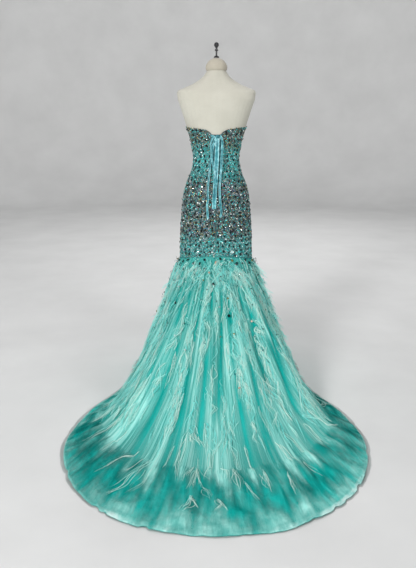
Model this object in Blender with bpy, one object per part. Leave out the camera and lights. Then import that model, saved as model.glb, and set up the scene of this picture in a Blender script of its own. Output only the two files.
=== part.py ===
"""Mermaid evening dress with a long train, on a limbless dress form.

Metres, +Z up. The laced back and the train face -Y, the bust faces +Y, and +X is the right of the laced
back. The origin is on the floor, at the centre of the underside of the form's base.

Angles go round the figure from the centre of the back (0) to the right side (90) and the centre of the
front (180); the left side is negative.
"""
import bmesh
import bpy
import math
import numpy as np

# Cloth and clearances
SEAM_GAP = 0.00035
LAYER_GAP = 0.0007
SHEATH_WALL = 0.0020
PANEL_WALL = 0.0012
SATIN_WALL = 0.0014
TULLE_WALL = 0.0010
FEATHER_WALL = 0.0060
TULLE_MIDDLE = SATIN_WALL / 2 + LAYER_GAP + TULLE_WALL / 2
FEATHER_MIDDLE = TULLE_MIDDLE + TULLE_WALL / 2 + LAYER_GAP + FEATHER_WALL / 2
FORM_CLEARANCE = 0.0018
MODESTY_CLEARANCE = 0.0012
MODESTY_EASE_ANGLES = (18.0, 40.0)

# Heights of the dress
SEAM_HEIGHT = 0.587
SEAM_RISE_AT_BACK = 0.024
OPENING_BOTTOM = 0.930

# Half width of the laced opening at its top, and the height where it is measured
OPENING_HALF_WIDTH = 0.026
OPENING_TOP = 1.195
OPENING_CURVE = 0.75

# Sections of the figure inside the dress: height, half width, depth in front and behind
FIGURE = {
    "height":     (0.560, 0.650, 0.740, 0.830, 0.900, 0.970, 1.020, 1.080, 1.130, 1.185, 1.225),
    "half_width": (0.183, 0.180, 0.177, 0.169, 0.162, 0.142, 0.121, 0.111, 0.118, 0.130, 0.145),
    "front":      (0.112, 0.112, 0.110, 0.107, 0.103, 0.096, 0.090, 0.088, 0.097, 0.108, 0.110),
    "back":       (0.112, 0.113, 0.117, 0.123, 0.124, 0.112, 0.094, 0.080, 0.085, 0.094, 0.097),
}
# Sections of the form above the dress, up to the neck
SHOULDERS = {
    "height":     (1.225, 1.262, 1.300, 1.335, 1.365, 1.385, 1.397, 1.407, 1.424, 1.443, 1.461, 1.484),
    "half_width": (0.145, 0.156, 0.169, 0.180, 0.190, 0.191, 0.184, 0.158, 0.117, 0.085, 0.063, 0.048),
    "front":      (0.110, 0.100, 0.090, 0.080, 0.072, 0.066, 0.061, 0.057, 0.053, 0.050, 0.048, 0.046),
    "back":       (0.097, 0.098, 0.098, 0.095, 0.089, 0.083, 0.077, 0.071, 0.063, 0.056, 0.051, 0.048),
}
FORM_BOTTOM = 0.745
SHOULDER_HEIGHT = 1.385

# The two cups: angle off the centre front, height, how far they stand out and how wide they spread
CUP_ANGLE = 36.0
CUP_HEIGHT = 1.172
CUP_DEPTH = 0.018
CUP_SPREAD_ANGLE = 22.0
CUP_SPREAD_HEIGHT = 0.045
CUP_EASE = 0.0035

# Top edge of the dress: angle from the centre back, height
TOP_EDGE = {
    "angle":  (0.0, 9.0, 14.0, 20.0, 45.0, 90.0, 120.0, 148.0, 166.0, 180.0),
    "height": (1.195, 1.196, 1.206, 1.214, 1.222, 1.228, 1.236, 1.250, 1.232, 1.205),
}

# Hem of the satin on the floor: angle from the centre back, distance from the axis
HEM = {
    "angle":  (0.0, 8.0, 15.0, 22.0, 29.0, 36.0, 42.0, 46.5, 50.0, 54.0, 62.0, 76.0, 100.0, 140.0, 180.0),
    "radius": (1.432, 1.419, 1.370, 1.286, 1.168, 1.022, 0.858, 0.738, 0.640, 0.562, 0.486, 0.430, 0.412,
               0.365, 0.330),
}
# How the skirt comes down: angle, share of its reach where it meets the floor, sweep of its profile
SWEEP = {
    "angle": (0.0, 20.0, 40.0, 52.0, 66.0, 90.0, 180.0),
    "touch": (0.700, 0.715, 0.790, 0.870, 0.920, 0.930, 0.930),
    "power": (1.65, 1.60, 1.40, 1.20, 1.06, 1.00, 1.00),
}
# How far the tulle reaches past the hem of the satin: angle from the centre back, length
TULLE_REACH = {
    "angle":  (0.0, 12.0, 20.0, 28.0, 36.0, 44.0, 50.0, 60.0, 76.0, 180.0),
    "length": (0.014, 0.014, 0.016, 0.022, 0.030, 0.042, 0.034, 0.021, 0.019, 0.019),
}
SKIRT_DROP = 0.0019

# Folds of the skirt: angle, depth (a trough is negative), half width in degrees
FOLDS = {
    "angle": (-172.0, -150.0, -128.0, -106.0, -84.0, -64.0, -50.0, -38.0, -27.0, -17.0, -7.0,
              3.0, 12.0, 22.0, 34.0, 47.0, 61.0, 82.0, 103.0, 126.0, 147.0, 168.0),
    "depth": (0.012, -0.014, 0.013, -0.015, 0.007, -0.016, 0.006, -0.016, 0.013, -0.020, 0.014,
              -0.015, 0.012, -0.020, 0.015, -0.017, 0.022, -0.004, 0.012, -0.015, 0.013, -0.012),
    "half":  (10.0, 9.0, 10.0, 9.0, 9.0, 7.0, 6.0, 5.5, 5.0, 5.0, 4.5,
              4.5, 4.5, 5.0, 5.5, 6.0, 8.0, 9.0, 9.0, 10.0, 9.0, 10.0),
}
FOLD_GROWTH = (0.02, 0.62)
FOLD_LIES_DOWN = (0.72, 1.0)
FOLD_FLATTENS = (1.2, 2.0)
FOLD_ON_FLOOR = 0.55
FOLD_LEFT_AT_HEM = 0.25

# Rows of the skirt: up to 1 the share of the fall to the floor, from 1 to 2 the share of the train
SKIRT_ROWS = (0.0, 0.08, 0.20, 0.36, 0.54, 0.74, 0.92, 1.0, 1.45, 2.0)
TULLE_ROWS = SKIRT_ROWS + (2.4, 3.0)
HEM_ROW = 2.0
TULLE_DOWN_ROW = TULLE_ROWS[-2]
FEATHER_ROWS = {"back": SKIRT_ROWS[:-1], "left": SKIRT_ROWS[:-3], "right": SKIRT_ROWS[:-3],
                "front": SKIRT_ROWS[:-3]}
TRAIN_STEP = 4.0
SKIRT_STEP = 10.0
TRAIN_EDGE = 60.0

# Gores: name, first and last angle
SATIN_GORES = (
    ("satin_front", 160.0, 200.0),
    ("satin_side_front_right", 110.0, 160.0),
    ("satin_side_right", 60.0, 110.0),
    ("satin_side_back_right", 32.0, 60.0),
    ("satin_train_right", 0.0, 32.0),
    ("satin_train_left", -32.0, 0.0),
    ("satin_side_back_left", -60.0, -32.0),
    ("satin_side_left", -110.0, -60.0),
    ("satin_side_front_left", -160.0, -110.0),
)
OVER_GORES = (
    ("front", 120.0, 240.0),
    ("right", 44.0, 120.0),
    ("back", -44.0, 44.0),
    ("left", -120.0, -44.0),
)

# Bodice panels that run between fixed angles: name, first and last angle
FIXED_PANELS = (
    ("front_centre", 144.0, 216.0),
    ("front_side_right", 90.0, 144.0),
    ("front_side_left", -144.0, -90.0),
)
PANEL_STEP = 9.0
BACK_COLUMNS = 10
MODESTY_COLUMNS = 6
SHEATH_ROWS = (0.0, 0.13, 0.27, 0.40, 0.50, 0.58, 0.65, 0.71, 0.765, 0.815, 0.86, 0.90, 0.935, 0.965, 1.0)

# Lacing
RIBBON_WIDTH = 0.010
RIBBON_WALL = 0.0010
LOOP_RIBBON_WIDTH = 0.006
MIDDLE_RIBBON_WIDTH = 0.020
LACE_TURNS = 9
LACE_TOP = 1.189
LACE_BOTTOM = 0.965
LACE_FRONT_OUT = 0.0053
LACE_BACK_OUT = 0.0036
LACE_RIBBON_WIDTH = 0.007
LACE_HOLD = 0.001
TAPE_WIDTH = 0.0045
TAPE_OUT = -0.0008
MODESTY_MARGIN = 0.014
MODESTY_OUT = -0.0029
MODESTY_FIRST_ROW = 4
TAPE_FIRST_ROW = 6
TOP_DROP = 0.003
KNOT_CENTRE = (0.006, -0.1027, 1.1845)
KNOT_SIZE = (0.018, 0.010, 0.015)

# Routes of the hanging ribbons, from the knot down
LOOP_ROUTE = (
    (-0.0041, -0.1032, 1.1850), (-0.0130, -0.1055, 1.1800), (-0.0225, -0.1080, 1.1660),
    (-0.0262, -0.1090, 1.1500), (-0.0245, -0.1095, 1.1200), (-0.0205, -0.1095, 1.0900),
    (-0.0165, -0.1095, 1.0620), (-0.0130, -0.1100, 1.0380), (-0.0095, -0.1115, 1.0260),
)
LEFT_ROUTE = (
    (0.0000, -0.1016, 1.1783), (-0.0060, -0.1035, 1.1660), (-0.0150, -0.1045, 1.1400),
    (-0.0215, -0.1045, 1.1050), (-0.0265, -0.1045, 1.0700), (-0.0310, -0.1050, 1.0350),
    (-0.0337, -0.1090, 1.0020), (-0.0365, -0.1170, 0.9750), (-0.0391, -0.1235, 0.9480),
    (-0.0396, -0.1285, 0.9200), (-0.0400, -0.1300, 0.8900), (-0.0428, -0.1300, 0.8640),
    (-0.0410, -0.1293, 0.8300), (-0.0386, -0.1283, 0.7990),
)
MIDDLE_ROUTE = (
    (0.0060, -0.1044, 1.1767), (0.0046, -0.1062, 1.1550), (0.0035, -0.1064, 1.1200),
    (0.0025, -0.1062, 1.0760), (0.0005, -0.1068, 1.0400), (-0.0015, -0.1128, 1.0020),
    (-0.0030, -0.1222, 0.9700), (-0.0045, -0.1275, 0.9400), (-0.0062, -0.1305, 0.9100),
    (-0.0080, -0.1308, 0.8820), (-0.0090, -0.1305, 0.8470),
)
RIGHT_ROUTE = (
    (0.0172, -0.1032, 1.1850), (0.0240, -0.1045, 1.1800), (0.0285, -0.1050, 1.1620),
    (0.0284, -0.1050, 1.1350), (0.0273, -0.1050, 1.1090), (0.0255, -0.1050, 1.0700),
    (0.0233, -0.1080, 1.0200), (0.0205, -0.1155, 0.9850), (0.0172, -0.1225, 0.9590),
    (0.0172, -0.1285, 0.9300), (0.0182, -0.1305, 0.9020), (0.0210, -0.1308, 0.8750),
    (0.0240, -0.1305, 0.8490), (0.0262, -0.1300, 0.8300), (0.0190, -0.1295, 0.8056),
)

# Steps over which the slope of a surface is measured: angle, height, row of the skirt
ANGLE_STEP = 0.5
HEIGHT_STEP = 0.002
ROW_STEP = 0.01
UP = np.array((0.0, 0.0, 1.0))

# Form and stand
FORM_COLUMNS = 40
FORM_ROW_HEIGHT = 0.032
NECK_CAP_PROFILE = ((0.0, 1.542), (0.012, 1.541), (0.024, 1.537), (0.036, 1.529), (0.045, 1.518),
                    (0.0505, 1.506), (0.0515, 1.497), (0.049, 1.4875), (0.046, 1.4843), (0.0, 1.4843))
FINIAL_PROFILE = ((0.0, 1.612), (0.005, 1.611), (0.0095, 1.607), (0.0115, 1.601), (0.0105, 1.595),
                  (0.0065, 1.590), (0.0045, 1.586), (0.0050, 1.581), (0.0085, 1.578), (0.0085, 1.575),
                  (0.0040, 1.572), (0.0040, 1.553), (0.0100, 1.550), (0.0125, 1.5455), (0.0125, 1.5424),
                  (0.0, 1.5424))
POLE_RADIUS = 0.0125
SEAT_GAP = 0.0003
BASE_PROFILE = ((0.0, 0.0300), (0.018, 0.0295), (0.024, 0.0240), (0.034, 0.0190), (0.080, 0.0150),
                (0.150, 0.0110), (0.160, 0.0080), (0.162, 0.0040), (0.160, 0.0), (0.0, 0.0))
TURNED_SIDES = 28
POLE_SIDES = 16

# Colour (red, green, blue), roughness and metallic value of each material
MATERIALS = {
    "linen":    ((0.66, 0.63, 0.56), 0.85, 0.0),
    "cap":      ((0.60, 0.55, 0.46), 0.80, 0.0),
    "dark":     ((0.02, 0.02, 0.02), 0.40, 0.0),
    "steel":    ((0.55, 0.55, 0.56), 0.30, 1.0),
    "beaded":   ((0.22, 0.42, 0.42), 0.45, 0.0),
    "ribbon":   ((0.13, 0.52, 0.60), 0.35, 0.0),
    "satin":    ((0.10, 0.62, 0.58), 0.40, 0.0),
    "tulle":    ((0.16, 0.50, 0.47), 0.70, 0.0),
    "feathers": ((0.62, 0.88, 0.85), 0.80, 0.0),
}


def smooth(table, key, column, at):
    """Value of a table's column at a place on its key column, on a smooth curve without overshoot."""
    xs = table[key]
    ys = table[column]
    if at <= xs[0]:
        return ys[0]
    if at >= xs[-1]:
        return ys[-1]
    slopes = [(ys[i + 1] - ys[i]) / (xs[i + 1] - xs[i]) for i in range(len(xs) - 1)]

    def tangent(i):
        if i == 0:
            return slopes[0]
        if i == len(xs) - 1:
            return slopes[-1]
        if slopes[i - 1] * slopes[i] <= 0.0:
            return 0.0
        return 2.0 * slopes[i - 1] * slopes[i] / (slopes[i - 1] + slopes[i])

    i = max(k for k in range(len(xs) - 1) if xs[k] <= at)
    span = xs[i + 1] - xs[i]
    t = (at - xs[i]) / span
    return (ys[i] * (1 + 2 * t) * (1 - t) ** 2 + tangent(i) * span * t * (1 - t) ** 2
            + ys[i + 1] * t * t * (3 - 2 * t) + tangent(i + 1) * span * t * t * (t - 1))


def smoothstep(low, high, value):
    """0 below low, 1 above high, and a soft step between."""
    t = min(1.0, max(0.0, (value - low) / (high - low)))
    return t * t * (3 - 2 * t)


def folded(angle):
    """Angle off the centre back, 0 to 180, on either side."""
    return abs((angle + 180.0) % 360.0 - 180.0)


def ring_point(table, angle, height):
    """Point of an oval section of the figure."""
    a = math.radians(angle)
    depth = smooth(table, "height", "back" if math.cos(a) > 0 else "front", height)
    return np.array((smooth(table, "height", "half_width", height) * math.sin(a),
                     -depth * math.cos(a), height))


def torso_point(angle, height):
    """Point of the figure without the cups, inside the dress or above it."""
    return ring_point(FIGURE if height < FIGURE["height"][-1] else SHOULDERS, angle, height)


def cup(angle, height):
    """How far a cup stands out at a place on the front."""
    off = abs(180.0 - folded(angle)) - CUP_ANGLE
    if folded(angle) < 90.0:
        return 0.0
    return (CUP_DEPTH * math.exp(-(off / CUP_SPREAD_ANGLE) ** 2)
            * math.exp(-((height - CUP_HEIGHT) / CUP_SPREAD_HEIGHT) ** 2))


def figure_point(angle, height):
    """Point on the middle of the bodice's wall."""
    a = math.radians(angle)
    return torso_point(angle, height) + cup(angle, height) * np.array((math.sin(a), -math.cos(a), 0.0))


def outward(surface, u, v, du, dv):
    """Unit normal of a surface, away from the axis or up. Where v runs down the surface, dv is negative."""
    along = surface(u + du, v) - surface(u - du, v)
    upward = surface(u, v + dv) - surface(u, v - dv)
    normal = np.cross(along, upward)
    return normal / np.linalg.norm(normal)


def figure_at(angle, height, out):
    """Point of the bodice moved out along its normal."""
    return figure_point(angle, height) + out * outward(figure_point, angle, height, ANGLE_STEP, HEIGHT_STEP)


def opening_half_width(height):
    """Half width of the laced opening at a height: a narrow V with a rounded foot."""
    share = min(1.0, max(0.0, (height - OPENING_BOTTOM) / (OPENING_TOP - OPENING_BOTTOM)))
    return OPENING_HALF_WIDTH * share ** OPENING_CURVE


def angle_of(x, height):
    """Angle on the back of the bodice where it is x off the centre."""
    return math.degrees(math.asin(x / smooth(FIGURE, "height", "half_width", height)))


def seam_height(angle):
    """Height of the dropped seam between bodice and skirt, highest at the centre back."""
    return SEAM_HEIGHT + SEAM_RISE_AT_BACK * max(0.0, math.cos(math.radians(angle))) ** 2


def fold_depth(angle, row):
    """Ridge or trough of the skirt's folds, deeper towards the floor and softer on it."""
    total = 0.0
    for centre, depth, half in zip(FOLDS["angle"], FOLDS["depth"], FOLDS["half"]):
        off = (angle - centre + 180.0) % 360.0 - 180.0
        total += depth * math.exp(-(off / half) ** 2)
    on_floor = smoothstep(*FOLD_LIES_DOWN, row)
    at_hem = 1.0 - (1.0 - FOLD_LEFT_AT_HEM) * smoothstep(*FOLD_FLATTENS, row)
    falling = total * smoothstep(*FOLD_GROWTH, row)
    lying = max(0.0, total) * FOLD_ON_FLOOR * at_hem
    return falling * (1.0 - on_floor) + lying * on_floor


def skirt_middle(angle, row):
    """Middle of the satin without its folds. Rows run as in SKIRT_ROWS, and past 2 beyond the hem."""
    off = folded(angle)
    a = math.radians(angle)
    start = figure_point(angle, seam_height(angle))
    hem = smooth(HEM, "angle", "radius", off)
    touch = smooth(SWEEP, "angle", "touch", off)
    power = smooth(SWEEP, "angle", "power", off)
    fall = min(row, 1.0)
    reach = touch * (1.0 - (1.0 - fall) ** (1.0 / power))
    reach += (1.0 - touch) * min(max(row - 1.0, 0.0), 1.0)
    beyond = max(0.0, row - HEM_ROW) * smooth(TULLE_REACH, "angle", "length", off)
    end = np.array((math.sin(a), -math.cos(a), 0.0)) * (hem + beyond)
    plan = start * (1.0 - reach) + end * reach
    plan[2] = (start[2] - SKIRT_DROP) * (1.0 - fall) + SATIN_WALL / 2
    return plan


def skirt_point(angle, row):
    """Middle of the satin with its folds."""
    row = max(0.0, row)
    middle = skirt_middle(angle, row)
    depth = fold_depth(angle, row)
    if depth == 0.0:
        return middle
    if row >= 1.0:
        return middle + depth * UP
    return middle + depth * outward(skirt_middle, angle, max(ROW_STEP, row - ROW_STEP), ANGLE_STEP, -ROW_STEP)


def skirt_angles(first, last):
    """Angles of the skirt's columns, closer together on the train."""
    columns = [k * TRAIN_STEP for k in range(round(TRAIN_EDGE / TRAIN_STEP))]
    columns += [TRAIN_EDGE + k * SKIRT_STEP for k in range(round((180.0 - TRAIN_EDGE) / SKIRT_STEP) + 1)]
    every = sorted({turn + side * angle for turn in (-360.0, 0.0, 360.0) for side in (-1, 1)
                    for angle in columns})
    return [angle for angle in every if first <= angle <= last]


def beside(values, value):
    """The neighbours of a value in a rising list; an end is its own neighbour."""
    i = min(range(len(values)), key=lambda k: abs(values[k] - value))
    return values[max(0, i - 1)], values[min(len(values) - 1, i + 1)]


def skirt_normal(angle, row):
    """Normal of the skirt at a point of its grid, from the points beside it."""
    if row >= HEM_ROW:
        return UP
    before, after = beside(skirt_angles(angle - 2 * SKIRT_STEP, angle + 2 * SKIRT_STEP), angle)
    above, below = beside(SKIRT_ROWS, row)
    along = skirt_point(after, row) - skirt_point(before, row)
    upward = skirt_point(angle, above) - skirt_point(angle, below)
    normal = np.cross(along, upward)
    return normal / np.linalg.norm(normal)


def skirt_at(angle, row, out, shift):
    """Grid point of the skirt moved out along its normal and shifted round by a small angle.

    Past the hem the tulle drops to the floor.
    """
    drop = smoothstep(HEM_ROW, TULLE_DOWN_ROW, row) * (TULLE_MIDDLE - TULLE_WALL / 2 + SATIN_WALL / 2)
    return skirt_point(angle + shift, row) + out * skirt_normal(angle, row) - drop * UP


def material(name):
    """Plain material of one kind of piece, made once."""
    if name in bpy.data.materials:
        return bpy.data.materials[name]
    colour, roughness, metallic = MATERIALS[name]
    made = bpy.data.materials.new(name)
    made.use_nodes = True
    shader = made.node_tree.nodes["Principled BSDF"]
    shader.inputs["Base Color"].default_value = (*colour, 1.0)
    shader.inputs["Roughness"].default_value = roughness
    shader.inputs["Metallic"].default_value = metallic
    return made


def add_solid(name, bm, material_name, sharp=math.radians(50)):
    """Object from a bmesh, with its faces pointing out and its round surfaces smooth."""
    bmesh.ops.recalc_face_normals(bm, faces=bm.faces)
    if bm.calc_volume(signed=True) < 0.0:
        bmesh.ops.reverse_faces(bm, faces=bm.faces)
    mesh = bpy.data.meshes.new(name)
    bm.to_mesh(mesh)
    bm.free()
    mesh.shade_smooth()
    mesh.set_sharp_from_angle(angle=sharp)
    solid = bpy.data.objects.new(name, mesh)
    solid.data.materials.append(material(material_name))
    bpy.context.collection.objects.link(solid)
    return solid


def two_triangles(bm, a, b, c, d):
    """One cell of a grid, always split the same way."""
    bm.faces.new((a, b, c))
    bm.faces.new((a, c, d))


def add_wall(name, outer, inner, material_name):
    """Closed wall of cloth between two grids of points, rows by columns."""
    bm = bmesh.new()
    rows, columns = len(outer), len(outer[0])
    skins = [[[bm.verts.new(point) for point in row] for row in skin] for skin in (outer, inner)]
    for skin in skins:
        for i in range(rows - 1):
            for j in range(columns - 1):
                two_triangles(bm, skin[i][j], skin[i][j + 1], skin[i + 1][j + 1], skin[i + 1][j])
    out, into = skins
    for i in range(rows - 1):
        for j in (0, columns - 1):
            two_triangles(bm, out[i][j], out[i + 1][j], into[i + 1][j], into[i][j])
    for j in range(columns - 1):
        for i in (0, rows - 1):
            two_triangles(bm, out[i][j], out[i][j + 1], into[i][j + 1], into[i][j])
    return add_solid(name, bm, material_name)


def add_rings(name, rings, material_name):
    """Closed solid through rings of points, from the bottom up, with flat ends."""
    bm = bmesh.new()
    loops = [[bm.verts.new(point) for point in ring] for ring in rings]
    count = len(loops[0])
    for low, high in zip(loops, loops[1:]):
        for j in range(count):
            k = (j + 1) % count
            bm.faces.new((low[j], low[k], high[k], high[j]))
    bm.faces.new(loops[0])
    bm.faces.new(loops[-1])
    return add_solid(name, bm, material_name)


def add_turned(name, profile, sides, material_name):
    """Solid of revolution round the Z axis from (radius, height) pairs that start and end on it."""
    bm = bmesh.new()
    ends = [bm.verts.new((0.0, 0.0, profile[i][1])) for i in (0, -1)]
    rings = []
    for radius, height in profile[1:-1]:
        turns = [2 * math.pi * k / sides for k in range(sides)]
        rings.append([bm.verts.new((radius * math.cos(t), radius * math.sin(t), height)) for t in turns])
    for j in range(sides):
        k = (j + 1) % sides
        bm.faces.new((ends[0], rings[0][j], rings[0][k]))
        bm.faces.new((ends[1], rings[-1][k], rings[-1][j]))
        for upper, lower in zip(rings, rings[1:]):
            bm.faces.new((upper[j], lower[j], lower[k], upper[k]))
    return add_solid(name, bm, material_name)


def angles_between(first, last, step):
    """Angles from first to last, the two ends included."""
    count = max(1, round((last - first) / step))
    return [first + (last - first) * i / count for i in range(count + 1)]


def panel_wall(name, edges, bottom, top, rows, middle, wall, material_name, columns):
    """Bodice panel: edges(height) gives its two side angles, bottom and top its heights at an angle."""
    grids = {1: [], -1: []}
    for side, grid in grids.items():
        for share in rows:
            line = []
            for k in range(columns + 1):
                across = k / columns
                guess = bottom(0.0) + share * (top(0.0) - bottom(0.0))
                for _ in range(4):
                    first, last = edges(guess)
                    angle = first + (last - first) * across
                    guess = bottom(angle) + share * (top(angle) - bottom(angle))
                line.append(figure_at(angle, guess, middle + side * wall / 2))
            grid.append(line)
    return add_wall(name, grids[1], grids[-1], material_name)


def seam_angle(height):
    """Half a seam's gap as an angle round the figure."""
    return math.degrees(SEAM_GAP / 2 / smooth(FIGURE, "height", "back", height))


def top_edge(angle):
    """Height of the dress's top edge at an angle."""
    return smooth(TOP_EDGE, "angle", "height", folded(angle))


def bodice_bottom(angle):
    """Lower edge of the bodice, just above the seam."""
    return seam_height(angle) + SEAM_GAP


def build_bodice():
    """Front panels, back panels with the laced opening, and the modesty panel behind it."""
    for name, first, last in FIXED_PANELS:
        columns = round((last - first) / PANEL_STEP)
        panel_wall(name, lambda z, a=first, b=last: (a + seam_angle(z), b - seam_angle(z)),
                   bodice_bottom, top_edge, SHEATH_ROWS, 0.0, SHEATH_WALL, "beaded", columns)
    for name, side in (("back_right", 1), ("back_left", -1)):
        panel_wall(name, lambda z, s=side: (s * (angle_of(opening_half_width(z), z) + seam_angle(z)),
                                            s * (90.0 - seam_angle(z))),
                   bodice_bottom, top_edge, SHEATH_ROWS, 0.0, SHEATH_WALL, "beaded", BACK_COLUMNS)

    def modesty_edges(height):
        reach = angle_of(opening_half_width(height) + MODESTY_MARGIN, height)
        return (-reach, reach)

    panel_wall("modesty_panel", modesty_edges, bodice_bottom, lambda angle: top_edge(angle) - TOP_DROP,
               SHEATH_ROWS[MODESTY_FIRST_ROW:], MODESTY_OUT, PANEL_WALL, "ribbon", MODESTY_COLUMNS)


def build_lacing():
    """Loop tapes on both edges of the opening and the ribbon laced through them."""
    for name, side in (("loop_tape_right", 1), ("loop_tape_left", -1)):
        def tape_edges(height, s=side):
            outer_edge = opening_half_width(height) - SEAM_GAP
            return (s * angle_of(outer_edge - TAPE_WIDTH, height), s * angle_of(outer_edge, height))
        panel_wall(name, tape_edges, bodice_bottom, lambda angle: top_edge(angle) - TOP_DROP,
                   SHEATH_ROWS[TAPE_FIRST_ROW:], TAPE_OUT, PANEL_WALL, "ribbon", 1)
    step = (LACE_TOP - LACE_BOTTOM) / (2 * LACE_TURNS)
    path = []
    for k in range(2 * LACE_TURNS):
        height = LACE_TOP - step * k
        side = 1 if k % 2 else -1
        reach = side * (opening_half_width(height) + LACE_HOLD)
        before, after = (LACE_FRONT_OUT, LACE_BACK_OUT) if k % 2 else (LACE_BACK_OUT, LACE_FRONT_OUT)
        path += [(reach, before, height), (reach, after, height)]
    path = path[1:-1]
    grids = []
    for skin in (1, -1):
        offsets = [skin * RIBBON_WALL / 2 * mitre(path, i) for i in range(len(path))]
        line = [figure_at(angle_of(x + off[0], z), z, out + off[1])
                for (x, out, z), off in zip(path, offsets)]
        grids.append([[point + np.array((0.0, 0.0, edge)) for point in line]
                      for edge in (LACE_RIBBON_WIDTH / 2, -LACE_RIBBON_WIDTH / 2)])
    add_wall("lacing", grids[0], grids[1], "ribbon")


def mitre(path, i):
    """Direction that offsets a path in its first two values at a corner, so that its wall stays even."""
    here = np.array(path[i][:2])
    sides = []
    if i > 0:
        sides.append(here - np.array(path[i - 1][:2]))
    if i < len(path) - 1:
        sides.append(np.array(path[i + 1][:2]) - here)
    normals = [np.array((-side[1], side[0])) / np.linalg.norm(side) for side in sides]
    total = sum(normals)
    total = total / np.linalg.norm(total)
    return total / total.dot(normals[0])


def route_curve(route, spacing):
    """Points about one spacing apart on a smooth curve through a route's own points."""
    points = [np.array(p) for p in route]
    padded = [2 * points[0] - points[1]] + points + [2 * points[-1] - points[-2]]
    curve = []
    for i in range(1, len(padded) - 2):
        p0, p1, p2, p3 = padded[i - 1:i + 3]
        steps = max(1, round(np.linalg.norm(p2 - p1) / spacing))
        for k in range(steps):
            t = k / steps
            curve.append(0.5 * (2 * p1 + (p2 - p0) * t + (2 * p0 - 5 * p1 + 4 * p2 - p3) * t ** 2
                                + (3 * p1 - p0 - 3 * p2 + p3) * t ** 3))
    curve.append(points[-1])
    return curve


def add_ribbon(name, route, width):
    """Flat hanging ribbon that faces away from the back of the dress."""
    curve = route_curve(route, 2 * RIBBON_WIDTH)
    outer, inner = [], []
    for i, point in enumerate(curve):
        along = curve[min(i + 1, len(curve) - 1)] - curve[max(i - 1, 0)]
        along = along / np.linalg.norm(along)
        across = np.cross(along, (0.0, -1.0, 0.0))
        across = across / np.linalg.norm(across)
        normal = np.cross(across, along)
        normal = normal if normal[1] < 0 else -normal
        edges = (point - across * width / 2, point + across * width / 2)
        outer.append([edge + normal * RIBBON_WALL / 2 for edge in edges])
        inner.append([edge - normal * RIBBON_WALL / 2 for edge in edges])
    return add_wall(name, outer, inner, "ribbon")


def build_ribbons():
    """The knot at the top of the lacing and the ribbons that hang from it."""
    bm = bmesh.new()
    bmesh.ops.create_uvsphere(bm, u_segments=12, v_segments=8, radius=0.5)
    for vert in bm.verts:
        vert.co = [c + v * size for c, v, size in zip(KNOT_CENTRE, vert.co, KNOT_SIZE)]
    add_solid("lace_knot", bm, "ribbon")
    add_ribbon("lace_loop", LOOP_ROUTE, LOOP_RIBBON_WIDTH)
    add_ribbon("lace_tail_left", LEFT_ROUTE, RIBBON_WIDTH)
    add_ribbon("lace_tail_middle", MIDDLE_ROUTE, MIDDLE_RIBBON_WIDTH)
    add_ribbon("lace_tail_right", RIGHT_ROUTE, RIBBON_WIDTH)


def skirt_wall(name, first, last, rows, middle, wall, material_name):
    """One gore of a layer of the skirt."""
    grids = []
    angles = skirt_angles(first, last)
    for side in (1, -1):
        grid = []
        for row in rows:
            line = []
            for k, angle in enumerate(angles):
                span = skirt_middle(angle, row)
                inset = math.degrees(SEAM_GAP / 2 / math.hypot(span[0], span[1]))
                shift = inset if k == 0 else -inset if k == len(angles) - 1 else 0.0
                line.append(skirt_at(angle, row, middle + side * wall / 2, shift))
            grid.append(line)
        grids.append(grid)
    return add_wall(name, grids[0], grids[1], material_name)


def build_skirt():
    """Satin gores, the tulle over them and the plain reach of the feathers over the tulle."""
    for name, first, last in SATIN_GORES:
        skirt_wall(name, first, last, SKIRT_ROWS, 0.0, SATIN_WALL, "satin")
    for place, first, last in OVER_GORES:
        skirt_wall("tulle_" + place, first, last, TULLE_ROWS, TULLE_MIDDLE, TULLE_WALL, "tulle")
        skirt_wall("feathers_" + place, first, last, FEATHER_ROWS[place], FEATHER_MIDDLE, FEATHER_WALL,
                   "feathers")


def form_inset(angle):
    """How far the form lies inside the middle of the bodice's wall; more behind the modesty panel."""
    behind = PANEL_WALL / 2 - MODESTY_OUT + MODESTY_CLEARANCE
    plain = SHEATH_WALL / 2 + FORM_CLEARANCE
    return plain + (behind - plain) * (1.0 - smoothstep(*MODESTY_EASE_ANGLES, folded(angle)))


def form_point(angle, height):
    """Point on the form's surface."""
    inset = form_inset(angle)
    point = torso_point(angle, height)
    a = math.radians(angle)
    flat = np.array((math.sin(a), -math.cos(a), 0.0))
    normal = outward(torso_point, angle, height, ANGLE_STEP, HEIGHT_STEP)
    depth = cup(angle, height)
    eased = max(0.0, depth - CUP_EASE * math.sqrt(depth / CUP_DEPTH))
    sideways = np.array((normal[0], normal[1], 0.0))
    return point - inset * sideways / np.linalg.norm(sideways) + eased * flat


def build_form():
    """Limbless torso, neck cap, finial, pole and base."""
    angles = [360.0 * k / FORM_COLUMNS for k in range(FORM_COLUMNS)]
    count = round((SHOULDER_HEIGHT - FORM_BOTTOM) / FORM_ROW_HEIGHT)
    heights = [FORM_BOTTOM + (SHOULDER_HEIGHT - FORM_BOTTOM) * i / count for i in range(count + 1)]
    heights += [height for height in SHOULDERS["height"] if height > SHOULDER_HEIGHT]
    rings = [[form_point(angle, height) for angle in angles] for height in heights]
    add_rings("form_torso", rings, "linen")
    add_turned("form_neck_cap", NECK_CAP_PROFILE, TURNED_SIDES, "cap")
    add_turned("form_finial", FINIAL_PROFILE, POLE_SIDES, "dark")
    pole_top = FORM_BOTTOM - SEAT_GAP
    pole_foot = BASE_PROFILE[0][1] + SEAT_GAP
    pole = ((0.0, pole_top), (POLE_RADIUS, pole_top), (POLE_RADIUS, pole_foot), (0.0, pole_foot))
    add_turned("form_pole", pole, POLE_SIDES, "steel")
    add_turned("form_base", BASE_PROFILE, TURNED_SIDES, "dark")


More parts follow.
